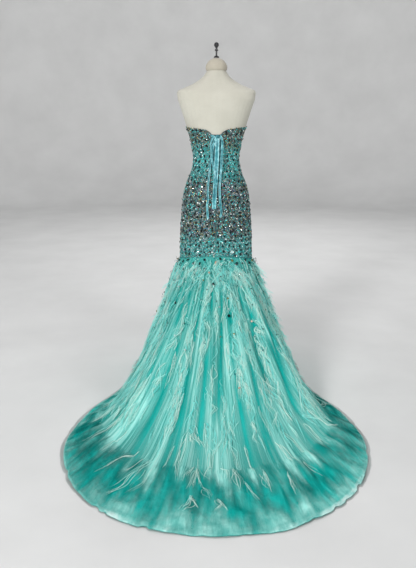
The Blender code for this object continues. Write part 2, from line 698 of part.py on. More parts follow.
def main():
    """Clear the scene and build the dress on its form."""
    for old in list(bpy.data.objects):
        bpy.data.objects.remove(old, do_unlink=True)
    build_form()
    build_bodice()
    build_lacing()
    build_ribbons()
    build_skirt()


main()
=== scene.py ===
"""Looks of the mermaid evening dress on its form: cloth, feather fronds, stones, ribbons, light and camera.

Metres, +Z up. Angles go round the figure from the centre of the back (0) to the right side (90) and the
centre front (180); the left side is negative. Rows of the skirt run from 0 at the seam to 1 where it
meets the floor, 2 at the hem of the satin and 3 at the edge of the tulle.
"""

import bmesh
import bpy
import math
import numpy as np
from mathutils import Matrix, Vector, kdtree

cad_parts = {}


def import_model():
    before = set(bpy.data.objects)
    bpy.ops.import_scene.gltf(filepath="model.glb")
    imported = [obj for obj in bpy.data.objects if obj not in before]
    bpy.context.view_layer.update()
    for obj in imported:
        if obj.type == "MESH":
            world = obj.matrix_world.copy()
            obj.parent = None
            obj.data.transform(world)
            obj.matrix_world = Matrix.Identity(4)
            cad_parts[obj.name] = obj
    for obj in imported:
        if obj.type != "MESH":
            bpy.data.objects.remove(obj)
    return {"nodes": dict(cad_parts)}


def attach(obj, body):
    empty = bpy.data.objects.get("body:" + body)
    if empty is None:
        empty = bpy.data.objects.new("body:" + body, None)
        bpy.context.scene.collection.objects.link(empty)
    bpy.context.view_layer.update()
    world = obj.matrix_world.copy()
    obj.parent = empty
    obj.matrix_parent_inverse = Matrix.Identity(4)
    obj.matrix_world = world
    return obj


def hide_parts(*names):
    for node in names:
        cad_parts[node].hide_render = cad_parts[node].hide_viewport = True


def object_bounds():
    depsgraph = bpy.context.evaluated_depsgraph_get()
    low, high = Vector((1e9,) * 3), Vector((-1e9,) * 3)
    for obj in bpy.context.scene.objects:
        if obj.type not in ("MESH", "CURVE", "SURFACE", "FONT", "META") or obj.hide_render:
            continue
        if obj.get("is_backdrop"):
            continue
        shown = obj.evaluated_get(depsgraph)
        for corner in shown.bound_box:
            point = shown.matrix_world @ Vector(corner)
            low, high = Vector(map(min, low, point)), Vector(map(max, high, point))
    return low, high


# Camera
CAMERA_PLACE = (0, -3.1, 1.25)
CAMERA_TILT = 14.607
CAMERA_TURN = .7375
CAMERA_LENS = 39.389
CAMERA_SENSOR = 36

# Cloth, its layers and clearances. "Out" is measured from the middle of the bodice's wall or of the satin
SATIN_WALL = .0014
TULLE_OUT = .0019
SHEATH_WALL = .002
PANEL_WALL = .0012
MODESTY_OUT = -.0029
MODESTY_MARGIN = .014
SEAM_GAP = .00035
SKIRT_DROP = .0019
TOP_DROP = .003
FROND_OUT = .003
BARB_LOWEST = .004
SATIN_LOWEST = (.0009, 0)
TULLE_LOWEST = .0008

# Heights of the dress and its laced opening
SEAM_HEIGHT = .587
SEAM_RISE_AT_BACK = .024
OPENING_BOTTOM = .93
OPENING_HALF_WIDTH = .026
OPENING_TOP = 1.195
OPENING_CURVE = .75
MODESTY_BOTTOM = .9016

# Sections of the figure inside the dress: height, half width, depth in front and behind
FIGURE = {
    "height": (.56, .65, .74, .83, .9, .97, 1.02, 1.08, 1.13, 1.185, 1.225),
    "half_width": (.183, .18, .177, .169, .162, .142, .121, .111, .118, .13, .145),
    "front": (.112, .112, .11, .107, .103, .096, .09, .088, .097, .108, .11),
    "back": (.112, .113, .117, .123, .124, .112, .094, .08, .085, .094, .097),
}
# The same above the dress, where the top edge reaches into it
SHOULDERS = {
    "height": (1.225, 1.262, 1.3, 1.335), "half_width": (.145, .156, .169, .18),
    "front": (.11, .1, .09, .08), "back": (.097, .098, .098, .095),
}
# The two cups: angle from the centre front, height, depth, and how far they spread
CUP_ANGLE = 36
CUP_HEIGHT = 1.172
CUP_DEPTH = .018
CUP_SPREAD_ANGLE = 22
CUP_SPREAD_HEIGHT = .045
TOP_EDGE = {
    "angle": (0, 9, 14, 20, 45, 90, 120, 148, 166, 180),
    "height": (1.195, 1.196, 1.206, 1.214, 1.222, 1.228, 1.236, 1.25, 1.232, 1.205),
}

# Hem on the floor, and how the skirt comes down to it
HEM = {
    "angle": (0, 8, 15, 22, 29, 36, 42, 46.5, 50, 54, 62, 76, 100, 140, 180),
    "radius": (1.432, 1.419, 1.37, 1.286, 1.168, 1.022, .858, .738, .64, .562, .486, .43, .412, .365, .33),
}
SWEEP = {
    "angle": (0, 20, 40, 52, 66, 90, 180), "touch": (.7, .715, .79, .87, .92, .93, .93),
    "power": (1.65, 1.6, 1.4, 1.2, 1.06, 1, 1),
}
# How far the tulle reaches past the hem of the satin
TULLE_REACH = {
    "angle": (0, 12, 20, 28, 36, 44, 50, 60, 76, 180),
    "length": (.014, .014, .016, .022, .03, .042, .034, .021, .019, .019),
}
# Angles, and the share of that reach which shows there once the edge has crumpled
RIM_SHOWN = ((12, 30), (.34, .86))
HEM_ROW = 2
TULLE_EDGE_ROW = 3

# Small waves of the hem: waves a degree, phase, size
HEM_WAVES = ((.31, .4, .45), (.57, 2.1, .3), (1.13, 4.4, .25), (1.91, .9, .18), (3.3, 3, .1))
# Rows over which the hem lifts off the floor and comes down again, its lift and its unevenness
HEM_RISES = (1.72, 2)
HEM_FALLS = (2, 2.6)
HEM_LIFT = .0028
HEM_UNEVEN = .002

# Main folds: angle, depth (a trough is negative), half width in degrees
FOLDS = {
    "angle": (-172, -150, -128, -106, -84, -64, -50, -38, -27, -17, -7, 3, 12, 22, 34, 47, 61, 82, 103, 126,
              147, 168),
    "depth": (.012, -.014, .013, -.015, .007, -.016, .006, -.016, .013, -.02, .014, -.015, .012, -.02, .015,
              -.017, .022, -.004, .012, -.015, .013, -.012),
    "half": (10, 9, 10, 9, 9, 7, 6, 5.5, 5, 5, 4.5, 4.5, 4.5, 5, 5.5, 6, 8, 9, 9, 10, 9, 10),
}
FOLD_GROWTH = (.02, .62)
FOLD_LIES_DOWN = (.72, 1)
FOLD_FLATTENS = (1.2, 2)
FOLD_ON_FLOOR = .55
FOLD_LEFT_AT_HEM = .25
# How softly the narrow folds and the creases begin and end, in shares of their length
DEEP_FOLD_SOFT = .22
DEEPNESS_SOFT = .12
CREASE_SOFT = .3
# Rows over which the narrow folds run out
DEEP_FOLDS_END = (.9, 1)

# Narrow deep folds, where the satin shows between the fronds: angle and row at the top and at the
# bottom, half width in degrees, depth
DEEP_FOLDS = (
    (-13.5, .09, -11, .34, 1.3, .006), (5.4, .2, .6, .86, 1.5, .009), (-12, .36, -10, .94, 1.6, .01),
    (-4, .58, -4.2, .97, 1.3, .008), (24.2, .44, 21.3, .74, 1.3, .007), (38, .36, 26.6, .93, 1.8, .011),
    (-21.4, .46, -19, 1, 1.7, .01), (-22.8, .26, -20.4, .46, 1.3, .006), (8, .72, 7.4, 1.02, 1.3, .008),
    (30.8, .56, 29.4, .82, 1.2, .006), (10, .26, 9.8, .44, 1.6, .007), (-31, .4, -27.5, .8, 1.3, .006),
    (-38, .22, -33, .66, 1.5, .007), (15.5, .62, 13, .98, 1.2, .006), (49, .28, 41, .9, 1.8, .008),
    (-52, .2, -45, .86, 1.9, .008), (-23, .14, -23.4, .3, 1.5, .005), (-36, .12, -36.4, .34, 1.4, .005),
    (-3, .2, -3.2, .36, 1.5, .005), (-43, .16, -42, .4, 1.6, .005), (-26.5, .3, -25.4, .46, 1.5, .005),
    (43, .22, 40, .46, 1.6, .005), (27.2, .24, 25.6, .5, 1.5, .005), (-16.6, .18, -17, .36, 1.5, .005),
    (21.6, .16, 22.4, .34, 1.4, .005), (-30, .2, -29, .38, 1.3, .005), (8.6, .3, 9.4, .44, 1.6, .005),
) + tuple((66 + 13 * k, .16 + .1 * (k % 3), 68 + 13 * k, .72 + .1 * (k % 3), 2.3,
           .006 + .0012 * (k % 3)) for k in range(18))

# Soft creases of the train: angle and row at the top and at the bottom, half width in degrees, height
TRAIN_CREASES = (
    (-43, 1.05, -45, 1.9, .9, .01), (-39.5, 1, -41.5, 1.8, .8, .013), (-36, 1.1, -37.5, 1.95, .8, .011),
    (-33, .95, -34.5, 1.6, .9, .014), (-30, 1.15, -31, 1.92, .7, .01), (-26.5, 1, -27.5, 1.75, .8, .013),
    (-23, 1.2, -24.5, 1.96, .7, .009), (-19, 1.02, -20.5, 1.6, .7, .012), (-14.5, 1, -16, 1.5, .7, .013),
    (-9.5, 1.02, -10.5, 1.45, .6, .011), (-6, 1.04, -5, 1.36, .5, .009), (-1.5, 1.02, -1, 1.5, .6, .011),
    (3.4, 1.02, 4.6, 1.42, .6, .01), (9.5, 1, 10.5, 1.62, .7, .015), (13, 1.04, 13.6, 1.86, .7, .014),
    (16.8, 1, 18, 1.55, .7, .01), (21, 1.1, 22.8, 1.78, .8, .011), (25, 1.02, 26.6, 1.9, .8, .012),
    (29, 1.12, 30.6, 1.7, .7, .01), (33, 1, 35, 1.86, .9, .013), (38, 1.05, 40, 1.92, .9, .011),
    (43.5, 1.1, 45, 1.85, 1, .01), (-11, 1.66, -15, 1.84, 1, .005), (2, 1.6, 5, 1.78, .9, .006),
    (-3, 1.74, -7.5, 1.88, 1, .005), (10, 1.8, 6, 1.92, 1, .005), (-5.5, 1.62, -2, 1.76, .9, .005),
    (7.5, 1.66, 8.8, 1.8, .8, .006), (16, 1.62, 12.5, 1.78, .9, .007), (-21, 1.7, -18.5, 1.86, .9, .006),
)

# Notches of the hem: angle, half width in degrees, how far the hem steps in
HEM_NOTCHES = (
    (-17.2, .35, .014), (-15.6, .3, .01), (-9.2, .5, .013), (13.4, .5, .008), (17.6, .45, .009),
    (20.2, .4, .01), (23.8, .4, .014), (3.6, .6, .006), (-27, .5, .009), (-38, .6, .008), (33, .6, .008),
    (41, .5, .007), (-120, 1.5, .006), (140, 1.5, .006), (88, 1.4, .006),
)

# Hanging ribbons: routes from the knot down
ROUTE_SPACING = .004
RIBBON_WIDTH = .01
LOOP_RIBBON_WIDTH = .006
MIDDLE_RIBBON_WIDTH = .02
RIBBON_WALL = .0007
LOOP_ROUTE = (
    (-.0041, -.1032, 1.185), (-.013, -.1055, 1.18), (-.0225, -.108, 1.166), (-.0262, -.109, 1.15),
    (-.0245, -.1095, 1.12), (-.0205, -.1095, 1.09), (-.0165, -.1095, 1.062), (-.013, -.11, 1.038),
    (-.0095, -.1115, 1.026),
)
LEFT_ROUTE = (
    (0, -.1016, 1.1783), (-.006, -.1035, 1.166), (-.015, -.1045, 1.14), (-.0215, -.1045, 1.105),
    (-.0265, -.1045, 1.07), (-.031, -.105, 1.035), (-.0337, -.109, 1.002), (-.0365, -.117, .975),
    (-.0391, -.1235, .948), (-.0396, -.1285, .92), (-.04, -.13, .89), (-.0428, -.13, .864),
    (-.041, -.1293, .83), (-.0386, -.1283, .799),
)
MIDDLE_ROUTE = (
    (.006, -.1044, 1.1767), (.0046, -.1062, 1.155), (.0035, -.1064, 1.12), (.0025, -.1062, 1.076),
    (.0005, -.1068, 1.04), (-.0015, -.1128, 1.002), (-.003, -.1222, .97), (-.0045, -.1275, .94),
    (-.0062, -.1305, .91), (-.008, -.1308, .882), (-.009, -.1305, .847),
)
RIGHT_ROUTE = (
    (.0172, -.1032, 1.185), (.024, -.1045, 1.18), (.0285, -.105, 1.162), (.0284, -.105, 1.135),
    (.0273, -.105, 1.109), (.0255, -.105, 1.07), (.0233, -.108, 1.02), (.0205, -.1155, .985),
    (.0172, -.1225, .959), (.0172, -.1285, .93), (.0182, -.1305, .902), (.021, -.1308, .875),
    (.024, -.1305, .849), (.0262, -.13, .83), (.019, -.1295, .8056),
)
# Piece, CAD node, route, width, real length, turn of the ribbon along its route in degrees (top, middle,
# end), height of the fold along its middle
HANGING = (
    ("ribbon_loop", "lace_loop", LOOP_ROUTE, LOOP_RIBBON_WIDTH, .173, (10, -25, 5), .0006),
    ("ribbon_left", "lace_tail_left", LEFT_ROUTE, RIBBON_WIDTH, .387, (0, 38, -8), .001),
    ("ribbon_middle", "lace_tail_middle", MIDDLE_ROUTE, MIDDLE_RIBBON_WIDTH, .336, (-4, 7, -16), .0022),
    ("ribbon_right", "lace_tail_right", RIGHT_ROUTE, RIBBON_WIDTH, .393, (12, -16, 20), .001),
)
KNOT_CENTRE = (.006, -.1027, 1.1845)
KNOT_SIZE = (.018, .01, .015)

# Lacing through the opening
LACE_TURNS = 9
LACE_TOP = 1.189
LACE_BOTTOM = .965
LACE_FRONT_OUT = .0053
LACE_BACK_OUT = .0036
LACE_RIBBON_WIDTH = .007
LACE_HOLD = .001
# Stretches that run further across than this follow the curve of the back
LACE_STRAIGHT = .004

# Cut of each cloth panel, or of a left and right pair, before it is sewn: flat width, length and area
CUTS = {
    "front_centre": (.22, .68, .123), "front_side": (.13, .68, .074), "back": (.24, .66, .125),
    "modesty_panel": (.09, .32, .017), "satin_front": (.24, .64, .118), "satin_side_front": (.33, .64, .15),
    "satin_side": (.39, .69, .157), "satin_side_back": (.42, 1.2, .217), "satin_train": (.8, 1.53, .581),
    "tulle_front": (.79, .66, .372), "tulle": (.8, .97, .292), "tulle_back": (2.1, 1.54, 1.442),
}
SATIN_GORES = (
    ("satin_front", 160, 200), ("satin_side_front_right", 110, 160), ("satin_side_right", 60, 110),
    ("satin_side_back_right", 32, 60), ("satin_train_right", 0, 32), ("satin_train_left", -32, 0),
    ("satin_side_back_left", -60, -32), ("satin_side_left", -110, -60),
    ("satin_side_front_left", -160, -110),
)
OVER_GORES = (("front", 120, 240), ("right", 44, 120), ("back", -44, 44), ("left", -120, -44))
BODICE_PANELS = (
    ("front_centre", 144, 216), ("front_side_right", 90, 144), ("front_side_left", -144, -90),
    ("back_right", 0, 90), ("back_left", -90, 0),
)

# The grid on which the skirt's surface is kept
GRID_STEP = .5
GRID_ROW_STEP = .01
# Rows of the pieces: first, last, number of steps. Then their steps in degrees, on the train and elsewhere
SKIRT_STEPS = ((0, .9, 30), (.9, 1, 8), (1, 2, 26))
TULLE_STEPS = ((2, 3, 3),)
TRAIN_ANGLE = 60
SATIN_STEP = (.6, 1.5)
TULLE_STEP = (.5, 1)
PANEL_STEP = 3
PANEL_ROWS = 61

# Fronds: number round the whole skirt, barbs in each, rows of their roots, length, spread, slant in
# degrees, number of roots tried at a time, and how dense they are by row
FROND_COUNT = 2300
FROND_BARBS = 9
FROND_START = (.014, .94)
FROND_LENGTH = (.05, .13)
FROND_SPREAD = .0046
FROND_HEADING = 11
FROND_TRIES = 4000
FROND_DENSITY = ((.01, .05, .3, .45, .8, .94), (1.2, 2.1, 1.5, 1.05, .85, .65))
# A barb is left out where it lies deeper in a narrow fold than a limit drawn from this range
FROND_DEEPEST = (.04, .28)
BARB_WIDTH = (.0007, .0013)
THICK_BARB_WIDTH = (.0017, .0027)
THICK_BARB_SHARE = .26
LONG_BARB_WIDTH = (.0012, .0022)
WISP_WIDTH = (.0018, .0034)
BARB_STATIONS = (0, .18, .36, .54, .7, .86, 1)

# Clumps of long barbs: angle and row of the root, the middle and the tip, number of barbs, spread
CLUMPS = (
    (-12, .92, -13.5, 1.06, -18, 1.69, 4, .006), (-12, .98, -12.5, 1.39, -15.5, 1.76, 4, .005),
    (-17.5, .97, -21, 1.28, -23, 1.67, 5, .006), (-23.8, .96, -25.2, 1.04, -25.8, 1.49, 6, .008),
    (-29.5, .93, -30.5, 1.02, -32, 1.63, 6, .008), (-35.8, .92, -37.2, 1, -37, 1.5, 5, .008),
    (-15, .99, -16, 1.18, -17.5, 1.4, 5, .007), (-14, 1.04, -14.5, 1.36, -15.2, 1.57, 4, .006),
    (-14.8, 1.26, -15.5, 1.55, -18.5, 1.86, 3, .006), (-11.8, .81, -12, .9, -12.5, .96, 9, .009),
    (-11, .78, -12, .85, -10.8, .93, 7, .008), (-9.5, .97, -10, 1, -10.5, 1.23, 4, .007),
    (-7.8, .97, -8.2, 1.01, -6.8, 1.29, 4, .005), (-3.8, .99, -3.8, 1.17, -4.2, 1.44, 8, .008),
    (-3.8, .99, -2.8, 1.19, -2, 1.35, 6, .007), (-4.5, 1, -5.5, 1.16, -5.8, 1.33, 5, .006),
    (-1, .97, -1, 1.01, -2, 1.24, 7, .007), (1, .99, 2.2, 1.05, 2, 1.32, 6, .006),
    (3.2, 1.01, 4, 1.22, 4.5, 1.47, 7, .008), (5, 1.19, 5.8, 1.38, 7, 1.57, 4, .005),
    (-3.8, 1.46, -4, 1.61, -5.2, 1.73, 8, .007), (-4.2, 1.48, -3, 1.57, -2.2, 1.67, 5, .006),
    (-2.2, 1.32, -1.2, 1.44, -.2, 1.56, 5, .005), (0, 1.47, .8, 1.59, -.2, 1.68, 7, .007),
    (.5, 1.49, 1.2, 1.59, 2, 1.7, 4, .005), (9, 1.1, 9.2, 1.28, 9.2, 1.48, 8, .008),
    (13.2, 1.24, 13.2, 1.42, 13, 1.66, 7, .007), (18.2, 1.13, 19, 1.34, 19.8, 1.55, 4, .006),
    (-5.2, .93, -4.2, .95, -2.8, .97, 7, .009), (-1.2, .82, -.2, .84, -2, .88, 6, .007),
    (8.8, .72, 9.5, .77, 8.5, .83, 8, .007), (16.5, .79, 17.8, .85, 19.5, .91, 6, .007),
    (29.5, .9, 32, .97, 37.8, 1.36, 4, .005), (43.2, .94, 45, 1.3, 46, 1.54, 6, .007),
    (17.5, .94, 19.8, .98, 21.2, 1.08, 5, .006), (26, .95, 26.8, .98, 27, 1.14, 5, .007),
    (11, .76, 10.5, .83, 10, .9, 6, .008), (13.5, .83, 14, .91, 13.8, .97, 7, .008),
    (14.8, .97, 16.5, .99, 17.8, 1.22, 5, .007), (3.2, .95, 4.2, .99, 5, 1.09, 5, .006),
    (2, .89, 2.2, .95, 2, .99, 5, .006), (-3.2, .89, -2.2, .95, -1.5, .99, 6, .008),
    (-7.2, .93, -7.2, .97, -8, 1.07, 6, .007), (7, .96, 7.2, .99, 7.5, 1.11, 5, .007),
    (-11.2, .52, -11.5, .61, -9.2, .72, 9, .008), (-9.5, .43, -10, .48, -8.2, .53, 6, .006),
    (-5.5, .41, -4.2, .48, -5, .59, 8, .007), (9.2, .27, 6.2, .36, 1.8, .46, 9, .008),
    (-6.2, .62, -6.5, .7, -6.5, .79, 9, .008), (-20.8, .59, -19.8, .7, -18.5, .8, 9, .009),
    (-22.5, .3, -22.2, .42, -21.2, .58, 8, .008), (-45.8, .33, -42.8, .47, -37.8, .63, 9, .009),
    (-34.5, .5, -32.2, .62, -28.8, .76, 8, .009), (33.8, .6, 36, .72, 34.2, .83, 10, .01),
    (21.8, .7, 20.5, .78, 19, .84, 8, .008), (9.5, .66, 9.5, .74, 8.5, .82, 8, .008),
    (33.8, .32, 31, .45, 28, .57, 8, .008), (56, .48, 58, .62, 55, .76, 9, .009),
    (-1.5, .64, -1.5, .72, -.8, .81, 7, .007), (5.8, .52, 5.8, .62, 5, .72, 6, .008),
    (20.5, .4, 19.5, .52, 17.8, .64, 6, .008), (-14, .69, -14, .8, -15, .88, 8, .009),
    (32.5, .77, 32.8, .87, 34.2, .95, 9, .009), (-27, .74, -27.2, .84, -28.8, .93, 9, .009),
    (22.8, .81, 22.8, .9, 24, .96, 7, .009),
)
CLUMP_STATIONS = (0, .125, .25, .375, .5, .625, .75, .875, 1)

# Loose wisps that stand away from the skirt: angle, row of the root, length, reach outwards, barbs
WISPS = (
    (72, .03, .115, .05, 18), (80, .07, .09, .04, 12), (76, .15, .085, .04, 12), (68, .2, .1, .048, 18),
    (74, .27, .1, .042, 14), (70, .36, .08, .032, 10), (62, .44, .08, .034, 12), (66, .52, .085, .034, 12),
    (60, .6, .08, .03, 10), (57, .68, .085, .026, 10), (52, .8, .08, .018, 8), (48, .9, .09, .014, 6),
    (-70, .06, .06, .018, 5), (-76, .2, .07, .032, 7), (-68, .32, .06, .018, 5), (-72, .46, .085, .036, 9),
    (-64, .56, .07, .02, 6), (-58, .72, .08, .018, 5), (-50, .84, .08, .018, 7), (-84, .62, .07, .022, 5),
) + tuple((98 + 26 * k, .12 + .14 * (k % 4), .07, .024, 5) for k in range(7))
LOOSE_WISPS = 240

# Soft patches of the net over the skirt: angle, row, half width in degrees, half length in rows, change
HAZE_PATCHES = (
    (-27, .92, 2.6, .1, .45), (-24.5, 1.05, 2.2, .16, .42), (-21.5, .9, 2, .12, .2),
    (-38.5, 1.18, 1.5, .22, .3), (-34, 1.3, 1, .24, .16), (-30.2, 1.34, .8, .3, .2),
    (-20.6, 1.3, .8, .24, .18), (-17.2, 1.24, .6, .24, .14), (-12.6, 1.22, .8, .22, .18),
    (-5.4, 1.08, 1.1, .14, .22), (-1.6, 1.06, .8, .12, .26), (2.4, 1.02, 1, .12, .24),
    (7, 1.08, 1.2, .16, .34), (11.8, 1.2, .7, .26, .36), (14, 1.45, .6, .22, .3), (17, 1.06, 2.2, .12, .34),
    (20.5, 1.16, 1.6, .1, .26), (13.4, 1.8, 1, .06, .3), (26, 1.44, 3.2, .16, .16), (33, 1.34, 1.6, .3, .2),
    (39, 1.44, 1.4, .34, .18), (22, 1.86, 3, .08, .14), (0, 1.86, 9, .09, .1), (-4.2, 1.74, 1.2, .05, .2),
    (-1.6, 1.72, 1, .05, -.14), (3.2, 1.68, 1.2, .06, -.1), (-12, .72, 1.8, .24, .14),
    (16, .52, 3, .22, .16), (13, .86, 2.2, .16, .14), (-33, .5, 3.5, .22, .12), (31, .44, 3, .2, .12),
    (12, 1.62, 2.4, .14, -.1), (19, 1.5, 3.6, .14, -.14), (-42.5, 1.5, .9, .28, .34),
    (-45.6, 1.6, .8, .26, .3), (-39.6, 1.78, .7, .12, .22), (-17, 1.62, 4.5, .16, -.1),
    (-36, 1.66, 3, .16, -.1), (5.5, 1.32, .9, .16, -.12),
) + tuple((70 + 44 * k, .6 - .15 * (k % 2), 6.5, .25, .12) for k in range(6))
# Cover of the net down the skirt, and the soft streaks in it: waves a degree, waves a row, phase, size
HAZE_DOWN = {
    "row": (0, .06, .2, .5, .8, .92, 1, 1.1, 1.25, 1.55, 1.72, 1.88, 2),
    "cover": (.26, .26, .38, .58, .6, .54, .42, .29, .1, .02, .2, .52, .58),
}
HAZE_STREAKS = ((.93, 3.1, .7, .34), (2.3, -1.9, 2.9, .26), (.41, 1.3, .3, .22), (3.7, 2.6, 1.9, .18))
# How unevenly the pale streaks end on the floor, in rows
HAZE_RAGGED = .42
# Rows over which the net comes to the floor, and over which its streaks grow calm towards the hem
HAZE_ON_FLOOR = (.95, 1.1)
HAZE_CALMS = (1.62, 1.84)
# Strength of its streaks as it hangs, what they gain on the floor and what they lose towards the hem
HAZE_UNEVEN = (.42, .45, .52)
HAZE_LEFT_OUT_OF_FOLDS = .97
HAZE_LIMITS = (.01, .92)
# Cover of the net past the hem
RIM_COVER = .26
# Angles, and how much painted shade the satin gets and how much less it is covered where it lies on the
# floor
SATIN_PAINTED_SHADE = ((-46, -38, -22, -14, 26, 38), (.02, .3, .24, 0, 0, .36))
HAZE_LESS = ((-46, -38, -22, -14, 26, 38), (0, .55, .5, 0, 0, .7))
# Rows over which the cloth gets its small creases of lying on the floor
CREASED_ROWS = (1, 1.4)
# Angles, and how strong the long folds of the lying cloth are there
CREASED_MORE = ((12, 34), (.64, 1))
# Lightness of the satin down the skirt, with painted shade where it lies on the floor; its painted light
# and dark streaks on the train, and its painted light and dark patches
SATIN_PAINTED_LIGHT_DOWN = {
    "row": (0, .1, .6, .9, 1.02, 1.15, 1.5, 1.72, 1.9, 2),
    "light": (.88, .62, .76, .8, .72, .62, .58, .62, .7, .7),
}
SATIN_PAINTED_STREAKS = ((.78, 2.4, 1.9, .035), (1.63, -1.6, .4, .035), (2.9, 1.2, 2.6, .035), (4.6, -2, .9, .03))
SATIN_PAINTED_PATCHES = (
    (-20.2, 1.54, .5, .22, -.16), (-16.2, 1.46, .6, .2, -.2), (-12.6, 1.44, .7, .18, -.22),
    (-9, 1.6, .6, .16, .14), (-6.4, 1.56, .5, .14, -.22), (-3.4, 1.62, .8, .1, -.12),
    (-.8, 1.64, .7, .1, -.14), (1.4, 1.48, .6, .14, -.2), (4.6, 1.62, .6, .12, .14),
    (7.2, 1.6, .6, .14, -.26), (9.4, 1.4, .5, .18, -.18), (12.4, 1.54, .6, .22, -.28),
    (14.4, 1.66, .4, .2, .2), (16, 1.44, .8, .16, -.28), (18.6, 1.46, .9, .16, -.26),
    (21.6, 1.5, .8, .18, -.14), (24.4, 1.56, .8, .24, .22), (31, 1.14, 2, .12, -.18),
    (38, 1.12, 1.6, .12, -.2), (-31, 1.16, 1, .14, -.18), (-18, 1.3, .8, .2, -.18),
) + tuple((first + 2.2 * k, 1.44 + .07 * (3 * k % 4), .65, .28, (-.22, .22)[k % 2])
          for first, count in ((-46.5, 12), (27.2, 8)) for k in range(count))
# Rows over which the satin comes to the floor, share of its painted patches, painted light gained in the
# deep folds
SATIN_ON_FLOOR = (.95, 1.15)
SATIN_PAINTED_PATCH_SHARE = .36
SATIN_PAINTED_FOLD_LIGHT = .06
# Painted highlight of the net where the turned-up hem catches the light: angle, half width in degrees,
# strength; and its rows
HEM_PAINTED_HIGHLIGHT_ROWS = ((1.925, 1.975), (2, 2.1))
HEM_PAINTED_HIGHLIGHTS = ((18.5, 4, 1), (24, 2, .7), (-13.5, 2.4, .8), (-6, 2, .3), (10, 2, .4))

# Stones sewn on the skirt: angle, row, half size, colour; and those just under the seam
SKIRT_STONES = (
    (-7.2, .12, .0055, "rose"), (-14, .165, .0049, "olive"), (-2.8, .19, .0062, "dark"),
    (-39.5, .22, .0049, "white"), (19, .205, .0039, "dark"), (10, .28, .0055, "olive"),
    (-37, .325, .0065, "dark"), (34.8, .33, .0073, "silver"), (10, .385, .0086, "dark"),
    (24.2, .425, .0055, "rose"), (-19.5, .435, .0047, "dark"), (29.2, .495, .0039, "dark"),
    (10, .5, .006, "olive"), (4, .495, .0047, "olive"), (-14.2, .58, .0052, "white"),
    (15.5, .59, .0044, "deep"), (25.2, .6, .0044, "deep"), (8, .7, .0049, "deep"), (9, .765, .0047, "rose"),
    (-24, .1, .0047, "silver"), (27, .13, .0044, "silver"), (-30, .42, .0044, "deep"),
    (2, .33, .0039, "silver"), (16, .36, .0042, "deep"),
) + tuple((61 + 13 * k, .15 + .11 * (3 * k % 4), .005 + .0005 * (k % 3),
           ("dark", "silver", "olive", "deep", "rose")[k % 5]) for k in range(19))
SEAM_STONES = (
    (-57, .03, "dark"), (-46, .02, "dark"), (-32.2, .045, "dark"), (-21.8, .05, "dark"),
    (-16, .025, "dark"), (-.2, .045, "rose"), (6.5, .018, "dark"), (14, .03, "deep"), (23.5, .03, "olive"),
    (29, .05, "dark"), (39, .045, "dark"), (50, .018, "dark"), (58, .04, "dark"),
) + tuple((70 + 11 * k, (.024, .045)[k % 2], ("olive", "dark", "dark", "rose", "dark", "dark")[k % 6])
          for k in range(21))
SKIRT_BEADS = 420
SKIRT_BEAD_ROWS = (.05, .72)
# Dark beads along the seam, for the thin dark line there, which is partly painted shade under the bodice's
# lower edge
SEAM_SHADE_BEADS = 190
SEAM_BEAD_ROW = .004
SEAM_BEAD_OUT = .0022
# Smallest and largest half sizes of those beads and of the stones under the seam
SKIRT_BEAD_HALF = (.0026, .004)
SEAM_BEAD_HALF = (.0013, .0021)
SEAM_STONE_HALF = (.009, .0115)
STONE_OUT = .0165
SEAM_STONE_OUT = .0055

# Colours of the stones and beads, and the share of each by height band on the bodice
STONE_COLOURS = {
    "teal": (.035, .46, .45), "deep": (.006, .15, .16), "dark": (.006, .009, .01),
    "silver": (.56, .62, .61), "white": (.9, .95, .94), "gold": (.48, .38, .15), "olive": (.19, .18, .05),
    "rose": (.56, .34, .24), "violet": (.17, .14, .26), "blue": (.07, .18, .32), "aqua": (.16, .68, .65),
}
BANDS = (
    (1.3, {"dark": .09, "olive": .15, "silver": .2, "gold": .15, "teal": .17, "deep": .08, "white": .08,
           "aqua": .07}),
    (1.14, {"teal": .34, "aqua": .27, "deep": .11, "dark": .05, "silver": .11, "olive": .04, "white": .06}),
    (.985, {"dark": .08, "silver": .23, "violet": .1, "blue": .08, "deep": .1, "teal": .15, "gold": .08,
            "olive": .07, "white": .08, "aqua": .06}),
    (.69, {"teal": .28, "aqua": .26, "deep": .1, "dark": .05, "silver": .15, "olive": .05, "white": .08}),
)
STONE_PITCH = .0068
BAND_BLUR = .034
STONE_UNEVEN = .001
STONE_TILT = .24
# Lowest and highest ring of the beading, and the radii that turn a length into an angle there
BEADED_HEIGHTS = (.59, 1.254)
BODICE_RADIUS = .13
SEED_RADIUS = .12
# Smallest and largest half sizes, and how far seed beads lie from their stone
BOAT_HALF_LENGTH = (.0036, .005)
ROUND_HALF_SIZE = (.0019, .0032)
SEED_HALF_SIZE = (.0009, .0015)
SEED_SPREAD = .0027
# Shares of the sites: boat-shaped, boat-shaped if dark, and up to where they are round stones
BOAT_SHARE = .06
DARK_BOAT_SHARE = .1
ROUND_SHARE = .56
# How far the stones sink into the cloth, and how far the larger ones stand on it
STONE_SUNK = .0003
SEED_SUNK = .0004
GEM_RAISED = .0004
# How light the small stones are against their own colours
STONE_SHADE = .95
# Larger dark stones all over the bodice: pitch, unevenness, half length, clear space round each
GEM_PITCH = .0275
GEM_UNEVEN = .0046
GEM_HALF_LENGTH = (.0064, .0092)
GEM_CLEAR = .0064
# Materials of the stones by number: name, roughness, metallic, specular, coat
STONE_FINISHES = (
    ("stone_glass", .12, 0, .5, .25), ("stone_foil", .24, .85, .6, .15), ("bead_lustre", .26, .1, .5, .2),
    ("stone_jet", .12, 0, .22, .04),
)

# Studio: height of its floor, radius to its curved foot, radius of that curve and heights of the wall
STUDIO_FLOOR = -.0006
STUDIO_RADIUS = 6.6
STUDIO_CURVE = 1.6
STUDIO_WALL = (2.6, 8)
STUDIO_SIDES = 72
